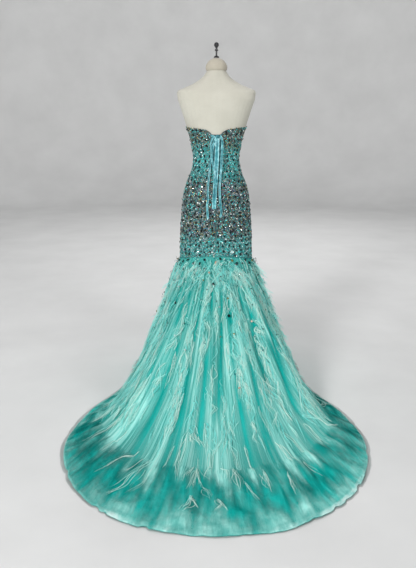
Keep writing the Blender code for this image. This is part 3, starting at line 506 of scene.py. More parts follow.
# Lights with their place, aim, size and power
LIGHTS = (
    ("key", (-2.9, -5, 2.7), (0, -.4, .6), 1.6, 285), ("fill", (3.4, -4, 1.9), (0, -.2, .7), 1.8, 90),
    ("back", (.8, 4.2, 3.8), (0, 0, .9), 2.4, 60), ("wall", (0, 1, 5.6), (0, 8.2, 1.2), 4, 150),
)
UP = np.array((0.0, 0.0, 1.0))
BACKWARD = np.array((0.0, -1.0, 0.0))


def smooth(table, column, at):
    """Values of a table's column at places on its first column, on a smooth curve without overshoot."""
    xs = np.array(next(iter(table.values())))
    ys = np.array(table[column])
    slopes = np.diff(ys) / np.diff(xs)
    product = slopes[:-1] * slopes[1:]
    total = np.where(product > 0, slopes[:-1] + slopes[1:], 1)
    inner = np.where(product > 0, 2 * product / total, 0)
    tangent = np.concatenate((slopes[:1], inner, slopes[-1:]))
    at = np.clip(at, xs[0], xs[-1])
    i = np.clip(np.searchsorted(xs, at, side="right") - 1, 0, len(xs) - 2)
    span = xs[i + 1] - xs[i]
    t = (at - xs[i]) / span
    return (ys[i] * (1 + 2 * t) * (1 - t) ** 2 + tangent[i] * span * t * (1 - t) ** 2
            + ys[i + 1] * t * t * (3 - 2 * t) + tangent[i + 1] * span * t * t * (t - 1))


def smoothstep(low, high, value):
    """0 below low, 1 above high, and a soft step between."""
    t = np.clip((value - low) / (high - low), 0, 1)
    return t * t * (3 - 2 * t)


def turned(angle):
    """Angle brought to -180 .. 180."""
    return (angle + 180) % 360 - 180


def bell(angle, middle, half):
    """1 at the middle angle, and softly less away from it."""
    return np.exp(-(turned(angle - middle) / half) ** 2)


def stack(x, y, z):
    """Points from their three coordinates."""
    return np.stack(np.broadcast_arrays(x, y, z), axis=-1)


def unit(vectors):
    """Vectors of length one."""
    return vectors / np.maximum(np.linalg.norm(vectors, axis=-1, keepdims=True), 1e-12)


def from_axis(angle):
    """Level unit vectors away from the axis of the figure."""
    a = np.radians(angle)
    return stack(np.sin(a), -np.cos(a), 0)


def ring_point(table, angle, height):
    """Points of the oval sections of the figure."""
    a = np.radians(angle)
    depth = np.where(np.cos(a) > 0, smooth(table, "back", height), smooth(table, "front", height))
    return stack(smooth(table, "half_width", height) * np.sin(a), -depth * np.cos(a), height)


def cup(angle, height):
    """How far a cup stands out at a place on the front."""
    side = np.abs(turned(angle))
    full = (CUP_DEPTH * np.exp(-((180 - side - CUP_ANGLE) / CUP_SPREAD_ANGLE) ** 2)
            * np.exp(-((height - CUP_HEIGHT) / CUP_SPREAD_HEIGHT) ** 2))
    return np.where(side < 90, 0, full)


def figure_point(angle, height):
    """Points on the middle of the bodice's wall."""
    angle, height = np.broadcast_arrays(np.asarray(angle, float), np.asarray(height, float))
    low, high = [ring_point(table, angle, height) for table in (FIGURE, SHOULDERS)]
    torso = np.where((height < FIGURE["height"][-1])[..., None], low, high)
    return torso + cup(angle, height)[..., None] * from_axis(angle)


def outward(surface, u, v, du, dv):
    """Unit normals of a surface, away from the axis or up. Where v runs down it, dv is negative."""
    along = surface(u + du, v) - surface(u - du, v)
    upward = surface(u, v + dv) - surface(u, v - dv)
    return unit(np.cross(along, upward))


def figure_at(angle, height, out):
    """Points of the bodice moved out along its normals, and those normals."""
    normals = outward(figure_point, angle, height, .5, .002)
    return figure_point(angle, height) + np.asarray(out, float)[..., None] * normals, normals


def opening_half_width(height):
    """Half width of the laced opening at a height."""
    share = np.clip((height - OPENING_BOTTOM) / (OPENING_TOP - OPENING_BOTTOM), 0, 1)
    return OPENING_HALF_WIDTH * share ** OPENING_CURVE


def angle_of(x, height):
    """Angle on the back of the bodice where it is x off the centre."""
    return np.degrees(np.arcsin(x / smooth(FIGURE, "half_width", height)))


def seam_height(angle):
    """Height of the dropped seam between bodice and skirt."""
    return SEAM_HEIGHT + SEAM_RISE_AT_BACK * np.maximum(0, np.cos(np.radians(angle))) ** 2


def top_edge(angle):
    """Height of the dress's top edge."""
    return smooth(TOP_EDGE, "height", np.abs(turned(angle)))


def fold_depth(angle, row):
    """Ridges and troughs of the main folds, deeper towards the floor and softer on it."""
    total = sum(depth * bell(angle, middle, half) for middle, depth, half in zip(*FOLDS.values()))
    on_floor = smoothstep(*FOLD_LIES_DOWN, row)
    at_hem = 1 - (1 - FOLD_LEFT_AT_HEM) * smoothstep(*FOLD_FLATTENS, row)
    falling = total * smoothstep(*FOLD_GROWTH, row)
    lying = np.maximum(0, total) * FOLD_ON_FLOOR * at_hem
    return falling * (1 - on_floor) + lying * on_floor


def along_lines(lines, angle, row, softness):
    """Each line of a table as a soft stroke: its strength from 0 to 1 and its depth, line by line."""
    for first, top, last, bottom, half, depth in lines:
        share = (row - top) / (bottom - top)
        middle = first + (last - first) * np.clip(share, 0, 1)
        ends = smoothstep(-softness, softness, share) * smoothstep(-softness, softness, 1 - share)
        yield bell(angle, middle, half) * ends, depth


def deepness(angle, row):
    """1 in the middle of the narrow deep folds and 0 away from them."""
    return np.max([stroke for stroke, _ in along_lines(DEEP_FOLDS, angle, row, DEEPNESS_SOFT)], axis=0)


def skirt_middle(angle, row):
    """Middle of the satin without its folds."""
    angle, row = np.broadcast_arrays(np.asarray(angle, float), np.asarray(row, float))
    off = np.abs(turned(angle))
    start = figure_point(angle, seam_height(angle))
    touch = smooth(SWEEP, "touch", off)
    power = smooth(SWEEP, "power", off)
    fall = np.clip(row, 0, 1)
    reach = touch * (1 - (1 - fall) ** (1 / power)) + (1 - touch) * np.clip(row - 1, 0, 1)
    beyond = np.maximum(0, row - HEM_ROW) * smooth(TULLE_REACH, "length", off)
    end = from_axis(angle) * (smooth(HEM, "radius", off) + beyond)[..., None]
    plan = start * (1 - reach)[..., None] + end * reach[..., None]
    plan[..., 2] = (start[..., 2] - SKIRT_DROP) * (1 - fall) + SATIN_WALL / 2
    return plan


def hem_waves(angle):
    """Small uneven waves of the hem, -1 to 1."""
    return sum(size * np.sin(often * angle + phase) for often, phase, size in HEM_WAVES)


def make_skirt_grid():
    """Points, normals and lengths down the skirt on an even grid of angles and rows."""
    angles = np.arange(-180, 180 + GRID_STEP / 2, GRID_STEP)
    rows = np.arange(0, TULLE_EDGE_ROW + GRID_ROW_STEP / 2, GRID_ROW_STEP)
    angle, row = np.meshgrid(angles, rows)
    depth = fold_depth(angle, row)
    for stroke, deep in along_lines(DEEP_FOLDS, angle, row, DEEP_FOLD_SOFT):
        depth = depth - stroke * deep * (1 - smoothstep(*DEEP_FOLDS_END, row))
    for stroke, high in along_lines(TRAIN_CREASES, angle, row, CREASE_SOFT):
        depth = depth + stroke * high
    near_hem = smoothstep(*HEM_RISES, row) * (1 - smoothstep(*HEM_FALLS, row))
    depth = depth + near_hem * HEM_LIFT * (1 + hem_waves(angle * 1.7))
    depth = np.where(row >= 1, np.maximum(0, depth), depth)
    normal = outward(skirt_middle, angle, np.clip(row - .01, .01, 2.9), .5, -.01)
    up = np.broadcast_to(UP, normal.shape)
    lying = smoothstep(.97, 1, row)[..., None]
    points = skirt_middle(angle, row) + depth[..., None] * unit(normal * (1 - lying) + up * lying)
    radial = unit(stack(points[..., 0], points[..., 1], 0))
    steps_in = sum(deep * bell(angle, at, half) for at, half, deep in HEM_NOTCHES)
    pulled = (smoothstep(1.9, 2, row) * HEM_UNEVEN * (hem_waves(angle) - 1)
              - smoothstep(1.94, 2, row) * steps_in)
    points = points + radial * pulled[..., None]
    points[..., 2] = np.maximum(points[..., 2], SATIN_WALL / 2)
    normals = unit(np.cross(np.gradient(points, axis=1), -np.gradient(points, axis=0)))
    normals = np.where((row > 1.95)[..., None], up, normals)
    steps = np.linalg.norm(np.diff(points, axis=0), axis=-1)
    lengths = np.concatenate((np.zeros((1, len(angles))), np.cumsum(steps, axis=0)))
    return angles, rows, points, normals, lengths


SKIRT_ANGLES, SKIRT_ROWS, SKIRT_POINTS, SKIRT_NORMALS, SKIRT_LENGTHS = make_skirt_grid()


def on_grid(values, angle, row):
    """Values of the skirt's grid between its points."""
    u = (turned(angle) + 180) / GRID_STEP
    v = np.clip(row, 0, TULLE_EDGE_ROW) / GRID_ROW_STEP
    i = np.clip(v.astype(int), 0, len(SKIRT_ROWS) - 2)
    j = np.clip(u.astype(int), 0, len(SKIRT_ANGLES) - 2)
    s = v - i
    t = u - j
    if values.ndim == 3:
        s = s[..., None]
        t = t[..., None]
    return ((values[i, j] * (1 - t) + values[i, j + 1] * t) * (1 - s)
            + (values[i + 1, j] * (1 - t) + values[i + 1, j + 1] * t) * s)


def skirt_at(angle, row, out):
    """Points of the skirt moved out along its normals, and those normals."""
    angle, row, out = np.broadcast_arrays(np.asarray(angle, float), np.asarray(row, float), out)
    normals = unit(on_grid(SKIRT_NORMALS, angle, row))
    return on_grid(SKIRT_POINTS, angle, row) + out[..., None] * normals, normals


def row_after(angle, row, length):
    """Row that lies a length further down the skirt."""
    column = np.clip(np.rint((turned(angle) + 180) / GRID_STEP).astype(int), 0, len(SKIRT_ANGLES) - 1)
    reached = np.empty(np.shape(length))
    for j in np.unique(column):
        here = column == j
        start = np.interp(row[here], SKIRT_ROWS, SKIRT_LENGTHS[:, j])
        reached[here] = np.interp(start[:, None] + length[here], SKIRT_LENGTHS[:, j], SKIRT_ROWS)
    return reached


def aside(angle, row, lateral):
    """Angle that lies a length to the side of a place on the skirt."""
    middle = on_grid(SKIRT_POINTS, angle, row)
    return angle + np.degrees(lateral / np.hypot(middle[..., 0], middle[..., 1]))


class Value:
    """An output of a shader node. Sums, differences and products with it make math nodes."""

    def __init__(self, look, socket):
        self.look = look
        self.socket = socket

    def __add__(self, other):
        return self.look.math("ADD", self, other)

    def __sub__(self, other):
        return self.look.math("SUBTRACT", self, other)

    def __rsub__(self, other):
        return self.look.math("SUBTRACT", other, self)

    def __mul__(self, other):
        return self.look.math("MULTIPLY", self, other)

    def remap(self, low, high, first=0, last=1):
        """The stretch from first to last brought to low .. high."""
        return self.look.node("MapRange", "Result", {
            "Value": self, "From Min": first, "From Max": last, "To Min": low, "To Max": high})


class Look:
    """A material with a principled shader, and short ways to make the nodes before it."""

    def __init__(self, name, values):
        self.material = bpy.data.materials.new(name)
        self.material.use_nodes = True
        self.tree = self.material.node_tree
        self.shader = self.tree.nodes["Principled BSDF"]
        self.fill(self.shader, values)

    def fill(self, made, inputs):
        """Sets the inputs of a node, or links them."""
        for key, value in inputs.items():
            if isinstance(value, Value):
                self.tree.links.new(value.socket, made.inputs[key])
            else:
                made.inputs[key].default_value = value

    def node(self, kind, output, inputs, **settings):
        """One output of a new node."""
        made = self.tree.nodes.new("ShaderNode" + kind)
        for key, value in settings.items():
            setattr(made, key, value)
        self.fill(made, inputs)
        return Value(self, made.outputs[output])

    def math(self, operation, first, second):
        """Result of a math node."""
        return self.node("Math", 0, {0: first, 1: second}, operation=operation)

    def attribute(self, name, output="Fac"):
        """A number or colour that the points of the piece carry."""
        return self.node("Attribute", output, {}, attribute_name=name)

    def place(self):
        """Coordinates of the piece, in metres."""
        return self.node("TexCoord", "Object", {})

    def cut(self):
        """Coordinates along the cut of the cloth: u round the skirt, v down it."""
        return self.node("UVMap", "UV", {}, uv_map="cut")

    def stretched(self, vector, scale):
        """Coordinates scaled by axis."""
        return self.node("Mapping", "Vector", {"Vector": vector, "Scale": scale})

    def noise(self, vector, scale, detail=3, roughness=.55):
        """Noise, scaled evenly or by axis."""
        if isinstance(scale, tuple):
            vector, scale = self.stretched(vector, scale), 1
        return self.node("TexNoise", "Fac", {
            "Vector": vector, "Scale": scale, "Detail": detail, "Roughness": roughness})

    def mix(self, share, first, second, kind="RGBA"):
        """Between two colours, or two numbers."""
        low, output = (6, 2) if kind == "RGBA" else (2, 0)
        return self.node("Mix", output, {0: share, low: first, low + 1: second}, data_type=kind)

    def ramp(self, factor, stops, kind="LINEAR"):
        """Colour ramp over stops of place, red, green and blue."""
        made = self.node("ValToRGB", "Color", {"Fac": factor})
        scale = made.socket.node.color_ramp
        scale.interpolation = kind
        while len(scale.elements) < len(stops):
            scale.elements.new(.5)
        for element, (place, *colour) in zip(scale.elements, stops):
            element.position = place
            element.color = (*colour, 1)
        return made

    def done(self, colour, roughness=None, bump=None):
        """The material with its colour, its roughness and its bump: height, strength and distance."""
        inputs = {"Base Color": colour}
        if roughness:
            inputs["Roughness"] = roughness
        if bump:
            names = ("Height", "Strength", "Distance")
            inputs["Normal"] = self.node("Bump", "Normal", dict(zip(names, bump)))
        self.fill(self.shader, inputs)
        return self.material


def crisp_folds(look, cut):
    """Crisp narrow folds running down the cloth where it lies on the floor, 0 to about 1."""
    folds = look.node("TexNoise", "Fac", {
        "Vector": look.stretched(cut, (210, 5, 1)), "Scale": 1, "Detail": 2, "Roughness": .5, "Offset": 1,
        "Gain": 1.2, "Distortion": .35}, noise_type="RIDGED_MULTIFRACTAL")
    return folds.remap(0, 1, .5, 1.5) * look.attribute("folded")


def creased(look, cut, folds):
    """Flat facets with sharp creases between them, where the cloth lies loosely on the floor."""
    warp = look.node("TexNoise", "Color", {
        "Vector": look.stretched(cut, (60, 12, 1)), "Scale": 1, "Detail": 3})
    moved = look.node("VectorMath", "Vector", {
        0: warp, 1: (.9, .9, 0), 2: look.stretched(cut, (150, 19, 1))}, operation="MULTIPLY_ADD")
    facets = look.node("TexVoronoi", "Distance", {"Vector": moved, "Scale": 1, "Randomness": 1})
    return facets * look.attribute("lying") * 1.4 + folds * .8


def satin_material():
    """Teal satin of the skirt, deeper in its troughs and paler on its ridges, with painted light and shade
    in its colour.
    """
    look = Look("skirt_satin", {"Specular IOR Level": .09, "IOR": 1.08})
    cut = look.cut()
    threads = look.noise(cut, (900, 30, 1), 2)
    cloud = look.noise(cut, (150, 7, 1), 5)
    crumple = look.noise(cut, (260, 24, 1), 5, .6)
    folds = crisp_folds(look, cut)
    # Painted light and shade: the light value that the points carry, and the crisp folds lightening the
    # colour along their ridges
    lit = look.attribute("light") + (folds - .45) * .32 + cloud.remap(-.15, .17, .34, .66)
    colour = look.ramp(lit, ((.05, .0003, .112, .098), (.35, .0006, .19, .168), (.6, .002, .295, .262),
                             (.8, .008, .4, .36), (1, .08, .56, .5)))
    height = crumple + threads * .12 + creased(look, cut, folds)
    return look.done(colour, cloud.remap(.34, .52), (height, .7, .006))


def tulle_material():
    """Fine net, thin over the folds and thicker in pale streaks; grey green past the hem; thicker and pale
    where the turned-up hem catches the light, as a painted highlight.
    """
    look = Look("tulle", {"Roughness": .75, "Specular IOR Level": .3, "IOR": 1.08})
    cut = look.cut()
    # The silver value is the painted highlight of the turned-up hem
    silver = look.attribute("silver")
    fine = look.noise(cut, (1500, 22, 1), 3, .6)
    crumple = look.noise(cut, (190, 17, 1), 6, .62)
    hanging = look.noise(cut, (240, 4, 1), 5, .62) * .65 + fine * .35
    grain = look.mix(look.attribute("lying") * .75, hanging, crumple.remap(.33, .74), "FLOAT")
    cover = look.attribute("haze") * grain.remap(.2, 1.72, .36, .66) + silver * (crumple * 1.5)
    alpha = look.node("Clamp", "Result", {"Value": cover, "Min": .005, "Max": .93})
    look.fill(look.shader, {"Alpha": alpha})
    pale = look.ramp(grain, ((.38, .12, .6, .54), (.5, .27, .76, .69), (.64, .48, .87, .8)))
    edge = look.ramp(fine, ((.3, .01, .08, .07), (.7, .03, .14, .125)))
    # Pale colour of the painted hem highlight
    light = look.ramp(crumple, ((.4, .3, .64, .6), (.6, .72, .86, .83)))
    colour = look.mix(silver, look.mix(look.attribute("rim"), pale, edge), light)
    height = crumple + fine * .3 + creased(look, cut, crisp_folds(look, cut))
    return look.done(colour, bump=(height, .7, .006))


def frond_material():
    """Ostrich fronds, teal at the root and cream at the tip, a little translucent."""
    look = Look("feathers", {
        "Roughness": .62, "Specular IOR Level": .3, "Sheen Weight": .5, "Sheen Roughness": .4})
    tone = look.attribute("tone") + (look.noise(look.place(), 420) - .5) * .5
    colour = look.ramp(tone, (
        (0, .06, .6, .57), (.35, .21, .81, .78), (.65, .46, .9, .85), (1, .8, .93, .86)))
    through = look.node("BsdfTranslucent", 0, {"Color": colour})
    both = look.node("MixShader", 0, {0: .32, 1: Value(look, look.shader.outputs[0]), 2: through})
    look.fill(look.tree.nodes["Material Output"], {"Surface": both})
    return look.done(colour)


def bodice_material():
    """Teal net covered with rows of seed beads between the stones, greyer in two bands of its height."""
    look = Look("beaded_bodice", {
        "Roughness": .4, "Specular IOR Level": .4, "Coat Weight": .1, "Coat Roughness": .2})
    place = look.place()
    beads = {"Vector": place, "Scale": 360}
    pick = look.node("SeparateColor", "Red", {"Color": look.node("TexVoronoi", "Color", beads)})
    teal = look.ramp(pick, (
        (0, .002, .02, .024), (.24, .006, .1, .105), (.48, .012, .21, .205), (.76, .045, .38, .365),
        (.92, .24, .34, .32)), "CONSTANT")
    grey = look.ramp(pick, (
        (0, .002, .004, .005), (.34, .008, .055, .06), (.54, .022, .034, .05), (.7, .1, .115, .11),
        (.82, .014, .18, .178), (.93, .17, .135, .06)), "CONSTANT")
    bent = look.node("SeparateXYZ", "Z", {"Vector": place}) + (look.noise(place, 26) - .5) * .1
    share = look.ramp(bent.remap(0, 1, .58, 1.26), [(at, level, level, level) for at, level in (
        (0, 0), (.13, 0), (.21, 1), (.56, 1), (.64, 0), (.8, 0), (.86, 1))])
    dome = 1 - look.node("TexVoronoi", "Distance", beads)
    return look.done(look.mix(share, teal, grey), bump=(dome, .9, .0012))


def stone_material(name, roughness, metallic, specular, coat):
    """Faceted stones or beads in the colour each was given, with fine flaws in the polish."""
    look = Look(name, {
        "Metallic": metallic, "Specular IOR Level": specular, "Coat Weight": coat, "Coat Roughness": .05})
    grain = look.noise(look.place(), 900, 2)
    colour = look.node("VectorMath", "Vector", {
        0: look.attribute("stone", "Color"), "Scale": grain.remap(.82, 1.12)}, operation="SCALE")
    return look.done(colour, grain.remap(roughness * .6, roughness * 1.6))


def ribbon_material(name, shade):
    """Light satin ribbon with fine threads along it and paler folded edges, a painted highlight of the
    cupped satin; shade darkens it.
    """
    look = Look(name, {
        "Specular IOR Level": .5, "Sheen Weight": .4, "Sheen Roughness": .35,
        "Sheen Tint": (.8, .98, 1, 1)})
    place = look.place()
    threads = look.noise(place, (2600, 600, 60), 2)
    # The edge value paints a highlight on the edges and shade in the middle of the cupped ribbon
    tone = threads * .35 + look.noise(place, 55) * .65 + (look.attribute("edge") - .3) * .22
    colour = look.ramp(tone, [(at, *(shade * part for part in stop)) for at, *stop in (
        (.34, .005, .105, .14), (.5, .045, .28, .32), (.64, .33, .67, .71))])
    return look.done(colour, threads.remap(.24, .42), (threads, .3, .0004))


def linen_material(name, light, dark):
    """Smooth stretched linen with its threads, slubs and a little wear."""
    look = Look(name, {"Specular IOR Level": .2, "Sheen Weight": .15})
    place = look.place()
    warp, weft = [look.node("TexWave", "Fac", {"Vector": place, "Scale": 260, "Distortion": 1.2},
                            bands_direction=way) for way in "XZ"]
    slubs = look.noise(place, (90, 90, 900), 2)
    colour = look.ramp(look.noise(place, 9, 4) * .7 + slubs * .3, ((.3, *dark), (.65, *light)))
    return look.done(colour, slubs.remap(.78, .94), (warp * weft + slubs, .25, .0004))


def metal_material(name, light, dark, metallic, roughness, stretch):
    """Painted or brushed metal with a fine grain."""
    look = Look(name, {"Metallic": metallic, "Specular IOR Level": .5})
    grain = look.noise(look.place(), stretch, 4)
    colour = look.ramp(grain, ((.3, *dark), (.7, *light)))
    return look.done(colour, grain.remap(roughness * .7, roughness * 1.4), (grain, .12, .0005))


def floor_material():
    """Plain pale studio floor with a faint mottle."""
    look = Look("studio_floor", {"Roughness": .8, "Specular IOR Level": .15})
    cloud = look.noise(look.place(), 2.2, 4)
    return look.done(look.ramp(cloud, ((.3, .66, .66, .655), (.7, .72, .72, .715))))


def add_object(name, data):
    """Object in the scene."""
    made = bpy.data.objects.new(name, data)
    bpy.context.scene.collection.objects.link(made)
    return made


def add_mesh(name, points, faces, materials, numbers=None):
    """Piece from points and groups of faces: smooth, or flat with a material number for each face."""
    mesh = bpy.data.meshes.new(name)
    listed = [face for group in faces for face in np.asarray(group).tolist()]
    mesh.from_pydata(np.asarray(points, float).reshape(-1, 3).tolist(), [], listed)
    for each in materials:
        mesh.materials.append(each)
    if numbers is None:
        mesh.shade_smooth()
    else:
        mesh.polygons.foreach_set("material_index", np.asarray(numbers, np.int32))
    mesh.update()
    return add_object(name, mesh)


def add_values(piece, **columns):
    """Numbers for the points of a piece. Those of a wall's outer side serve its inner side too."""
    for name, values in columns.items():
        sides = len(piece.data.vertices) // np.size(values)
        layer = piece.data.attributes.new(name, "FLOAT", "POINT")
        layer.data.foreach_set("value", np.tile(np.asarray(values, np.float32).ravel(), sides))


def add_cut(piece, u, v):
    """Cut coordinates for the points of a piece, as its UV map."""
    layer = piece.data.uv_layers.new(name="cut")
    corners = np.empty(len(piece.data.loops), np.int32)
    piece.data.loops.foreach_get("vertex_index", corners)
    both = np.stack((u.ravel(), v.ravel()), axis=-1)
    layer.data.foreach_set("uv", np.asarray(both[corners % len(both)], np.float32).ravel())


def stand_for(piece, slot_name, *nodes):
    """The piece rides on the part's one body and stands for CAD nodes."""
    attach(piece, "root")
    if nodes:
        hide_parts(*nodes)
    return piece


def declare(piece, node):
    """Looks up what size the cloth of a piece was cut to, and does nothing more with it."""
    width, length, area = CUTS[node.removesuffix("_left").removesuffix("_right")]


def cells(index):
    """Four-cornered faces of a grid of point numbers."""
    corners = (index[:-1, :-1], index[:-1, 1:], index[1:, 1:], index[1:, :-1])
    return np.stack(corners, axis=-1).reshape(-1, 4)


def face_out(piece, join=False):
    """Turns the faces of a closed piece outwards, after joining points that lie on each other."""
    bm = bmesh.new()
    bm.from_mesh(piece.data)
    if join:
        bmesh.ops.remove_doubles(bm, verts=bm.verts, dist=1e-6)
    bmesh.ops.recalc_face_normals(bm, faces=bm.faces)
    bm.to_mesh(piece.data)
    bm.free()


def add_wall(name, outer, inner, material):
    """Closed wall of cloth between two grids of points."""
    rows, columns = outer.shape[:2]
    out = np.arange(rows * columns).reshape(rows, columns)
    into = out + rows * columns
    edges = (into[0], out[0]), (out[-1], into[-1]), (out[:, 0], into[:, 0]), (into[:, -1], out[:, -1])
    rims = [np.stack((a[:-1], a[1:], b[1:], b[:-1]), axis=-1) for a, b in edges]
    points = np.concatenate((outer.reshape(-1, 3), inner.reshape(-1, 3)))
    piece = add_mesh(name, points, [cells(out), cells(into)[:, ::-1], *rims], [material])
    face_out(piece)
    piece.data.set_sharp_from_angle(angle=math.radians(60))
    return piece


def add_camera():
    """Camera at the photograph's place and angle."""
    data = bpy.data.cameras.new("camera")
    data.sensor_width = CAMERA_SENSOR
    data.lens = CAMERA_LENS
    camera = add_object("camera", data)
    camera.location = CAMERA_PLACE
    camera.rotation_euler = (math.radians(90 - CAMERA_TILT), 0, math.radians(CAMERA_TURN))
    bpy.context.scene.camera = camera


def route_curve(route):
    """Points about one spacing apart on a smooth curve through a route's own points."""
    points = [np.array(p) for p in route]
    padded = [2 * points[0] - points[1]] + points + [2 * points[-1] - points[-2]]
    curve = []
    for i in range(1, len(padded) - 2):
        p0, p1, p2, p3 = padded[i - 1:i + 3]
        steps = max(1, round(np.linalg.norm(p2 - p1) / ROUTE_SPACING))
        for k in range(steps):
            t = k / steps
            curve.append(.5 * (2 * p1 + (p2 - p0) * t + (2 * p0 - 5 * p1 + 4 * p2 - p3) * t ** 2
                               + (3 * p1 - p0 - 3 * p2 + p3) * t ** 3))
    curve.append(points[-1])
    return np.array(curve)


def ribbon_mesh(name, curve, facing, width, wall, turn, cupped, fold, material):
    """Closed ribbon along a curve, turned about it, cupped across and folded along its middle."""
    along = unit(np.gradient(curve, axis=0))
    across = unit(np.cross(along, facing))
    normal = np.cross(across, along)
    shares = np.linspace(-1, 1, 11)
    angle = np.radians(turn)[:, None]
    wide = across * np.cos(angle) + normal * np.sin(angle)
    deep = (normal * np.cos(angle) - across * np.sin(angle))[:, None]
    bend = cupped[:, None] * (shares ** 2 - .4) + fold[:, None] * np.cos(shares * 6.5 + .5)
    base = curve[:, None] + wide[:, None] * (shares * width / 2)[:, None] + deep * bend[..., None]
    piece = add_wall(name, base + deep * wall / 2, base - deep * wall / 2, material)
    # Edge value for the painted highlight on both edges of the ribbon
    add_values(piece, edge=np.broadcast_to(shares ** 2, base.shape[:2]))
    return piece


def add_hanging_ribbons(material):
    """The loop and the free tails that hang from the knot."""
    for name, cad_node, route, width, length, turns, fold in HANGING:
        curve = route_curve(route)
        share = np.linspace(0, 1, len(curve))
        turn = np.interp(share, (0, .5, 1), turns) + 6 * np.sin(share * 17 + width * 900)
        cupped = .001 * np.sin(share * 9 + turns[1]) + .0004
        folded = fold * (.55 + .45 * np.sin(share * 7 + turns[2])) * smoothstep(0, .08, share)
        facing = np.broadcast_to(BACKWARD, curve.shape)
        piece = ribbon_mesh(name, curve, facing, width, RIBBON_WALL, turn, cupped, folded, material)
        stand_for(piece, "lacing_satin", cad_node)
        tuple(route[0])


def add_knot(material):
    """The knot at the top of the lacing, wound of soft ribbon folds."""
    columns, rows = 48, 24
    around, up = np.meshgrid(np.linspace(0, 2 * math.pi, columns, endpoint=False),
                             np.linspace(-math.pi / 2, math.pi / 2, rows))
    folds = np.abs(np.sin(2.5 * up + 1.5 * np.sin(around) + .6)) ** .6
    size = .9 + .12 * folds
    wide = size * np.cos(up)
    points = stack(wide * np.cos(around), wide * np.sin(around), size * np.sin(up))
    points = points * np.array(KNOT_SIZE) / 2 + np.array(KNOT_CENTRE)
    index = np.arange(rows * columns).reshape(rows, columns)
    index = np.concatenate((index, index[:, :1]), axis=1)
    piece = add_mesh("ribbon_knot", points, [cells(index)], [material])
    face_out(piece, join=True)
    stand_for(piece, "lacing_satin", "lace_knot")


def add_lacing(material):
    """The ribbon laced from side to side, through the small loops that hold it."""
    step = (LACE_TOP - LACE_BOTTOM) / (2 * LACE_TURNS)
    path = []
    for k in range(2 * LACE_TURNS):
        height = LACE_TOP - step * k
        side = 1 if k % 2 else -1
        reach = side * (opening_half_width(height) + LACE_HOLD)
        path += [(reach, out, height) for out in (LACE_BACK_OUT, LACE_FRONT_OUT)[::-side]]
    path = np.array(path[1:-1])
    fine = [path[0]]
    for start, end in zip(path, path[1:]):
        pieces = 8 if abs(end[0] - start[0]) > LACE_STRAIGHT else 1
        fine += [start + (end - start) * k / pieces for k in range(1, pieces + 1)]
    x, out, height = np.array(fine).T
    curve, _ = figure_at(angle_of(x, height), height, out)
    along = unit(np.gradient(curve, axis=0))
    up = UP - along * along[:, 2:3]
    share = np.linspace(0, 1, len(curve))
    flat = np.zeros(len(curve))
    piece = ribbon_mesh("lacing_ribbon", curve, np.cross(unit(up), along), LACE_RIBBON_WIDTH,
                        RIBBON_WALL * .6, flat, .0004 * np.sin(share * 60), flat, material)
    stand_for(piece, "lacing_satin", "lacing")


def add_modesty_panel(material):
    """The panel behind the lacing, drawn into soft gathers."""
    shares = np.linspace(0, 1, 33)[:, None]
    height = MODESTY_BOTTOM + (top_edge(0) - TOP_DROP - MODESTY_BOTTOM) * shares
    for _ in range(4):
        reach = angle_of(opening_half_width(height) + MODESTY_MARGIN, height)
        angle = reach * np.linspace(-1, 1, 25)
        height = MODESTY_BOTTOM + (top_edge(angle) - TOP_DROP - MODESTY_BOTTOM) * shares
    gathers = .0005 * np.sin(angle * 2.3) * np.sin(height * 70 + angle * .4)
    sides = [figure_at(angle, height, MODESTY_OUT + gathers + side * PANEL_WALL / 2)[0] for side in (1, -1)]
    piece = stand_for(add_wall("modesty_cloth", *sides, material), "lacing_satin", "modesty_panel")
    declare(piece, "modesty_panel")


def panel_edges(name, first, last, height):
    """The two side angles of a bodice panel at a height."""
    gap = np.degrees(SEAM_GAP / 2 / smooth(FIGURE, "back", height))
    opening = angle_of(opening_half_width(height), height)
    left = opening + gap if name == "back_right" else first + gap
    right = -opening - gap if name == "back_left" else last - gap
    return left, right


def add_bodice_panel(panel, material, beads):
    """One panel of the bodice, with the slight hills that the beading gives its cloth."""
    name, first, last = panel
    across = np.linspace(0, 1, round((last - first) / PANEL_STEP) + 1)
    shares = np.linspace(0, 1, PANEL_ROWS)[:, None]
    height = seam_height(0) + shares * (top_edge(0) - seam_height(0)) + 0 * across
    for _ in range(4):
        left, right = panel_edges(name, first, last, height)
        angle = left + (right - left) * across
        low = seam_height(angle) + SEAM_GAP
        height = low + shares * (top_edge(angle) - low)
    hills = .0003 * np.sin(angle * 1.9 + height * 90) * np.sin(height * 210 - angle)
    sides = [figure_at(angle, height, hills + side * SHEATH_WALL / 2)[0] for side in (1, -1)]
    piece = stand_for(add_wall(name + "_cloth", *sides, material), "beaded_bodice", name)
    declare(piece, name)


def round_stone():
    """Faceted round stone of half size 1, standing on its back: points and faces."""
    turns = np.arange(6) * math.pi / 3
    table = stack(.55 * np.cos(turns + math.pi / 6), .55 * np.sin(turns + math.pi / 6), .62)
    girdle = stack(np.cos(turns), np.sin(turns), .18)
    faces = [(0, k, k + 1) for k in range(1, 5)]
    for k in range(6):
        after = (k + 1) % 6
        faces += [(6 + k, 6 + after, k), (k, 6 + after, after)]
    return np.concatenate((table, girdle)), np.array(faces)


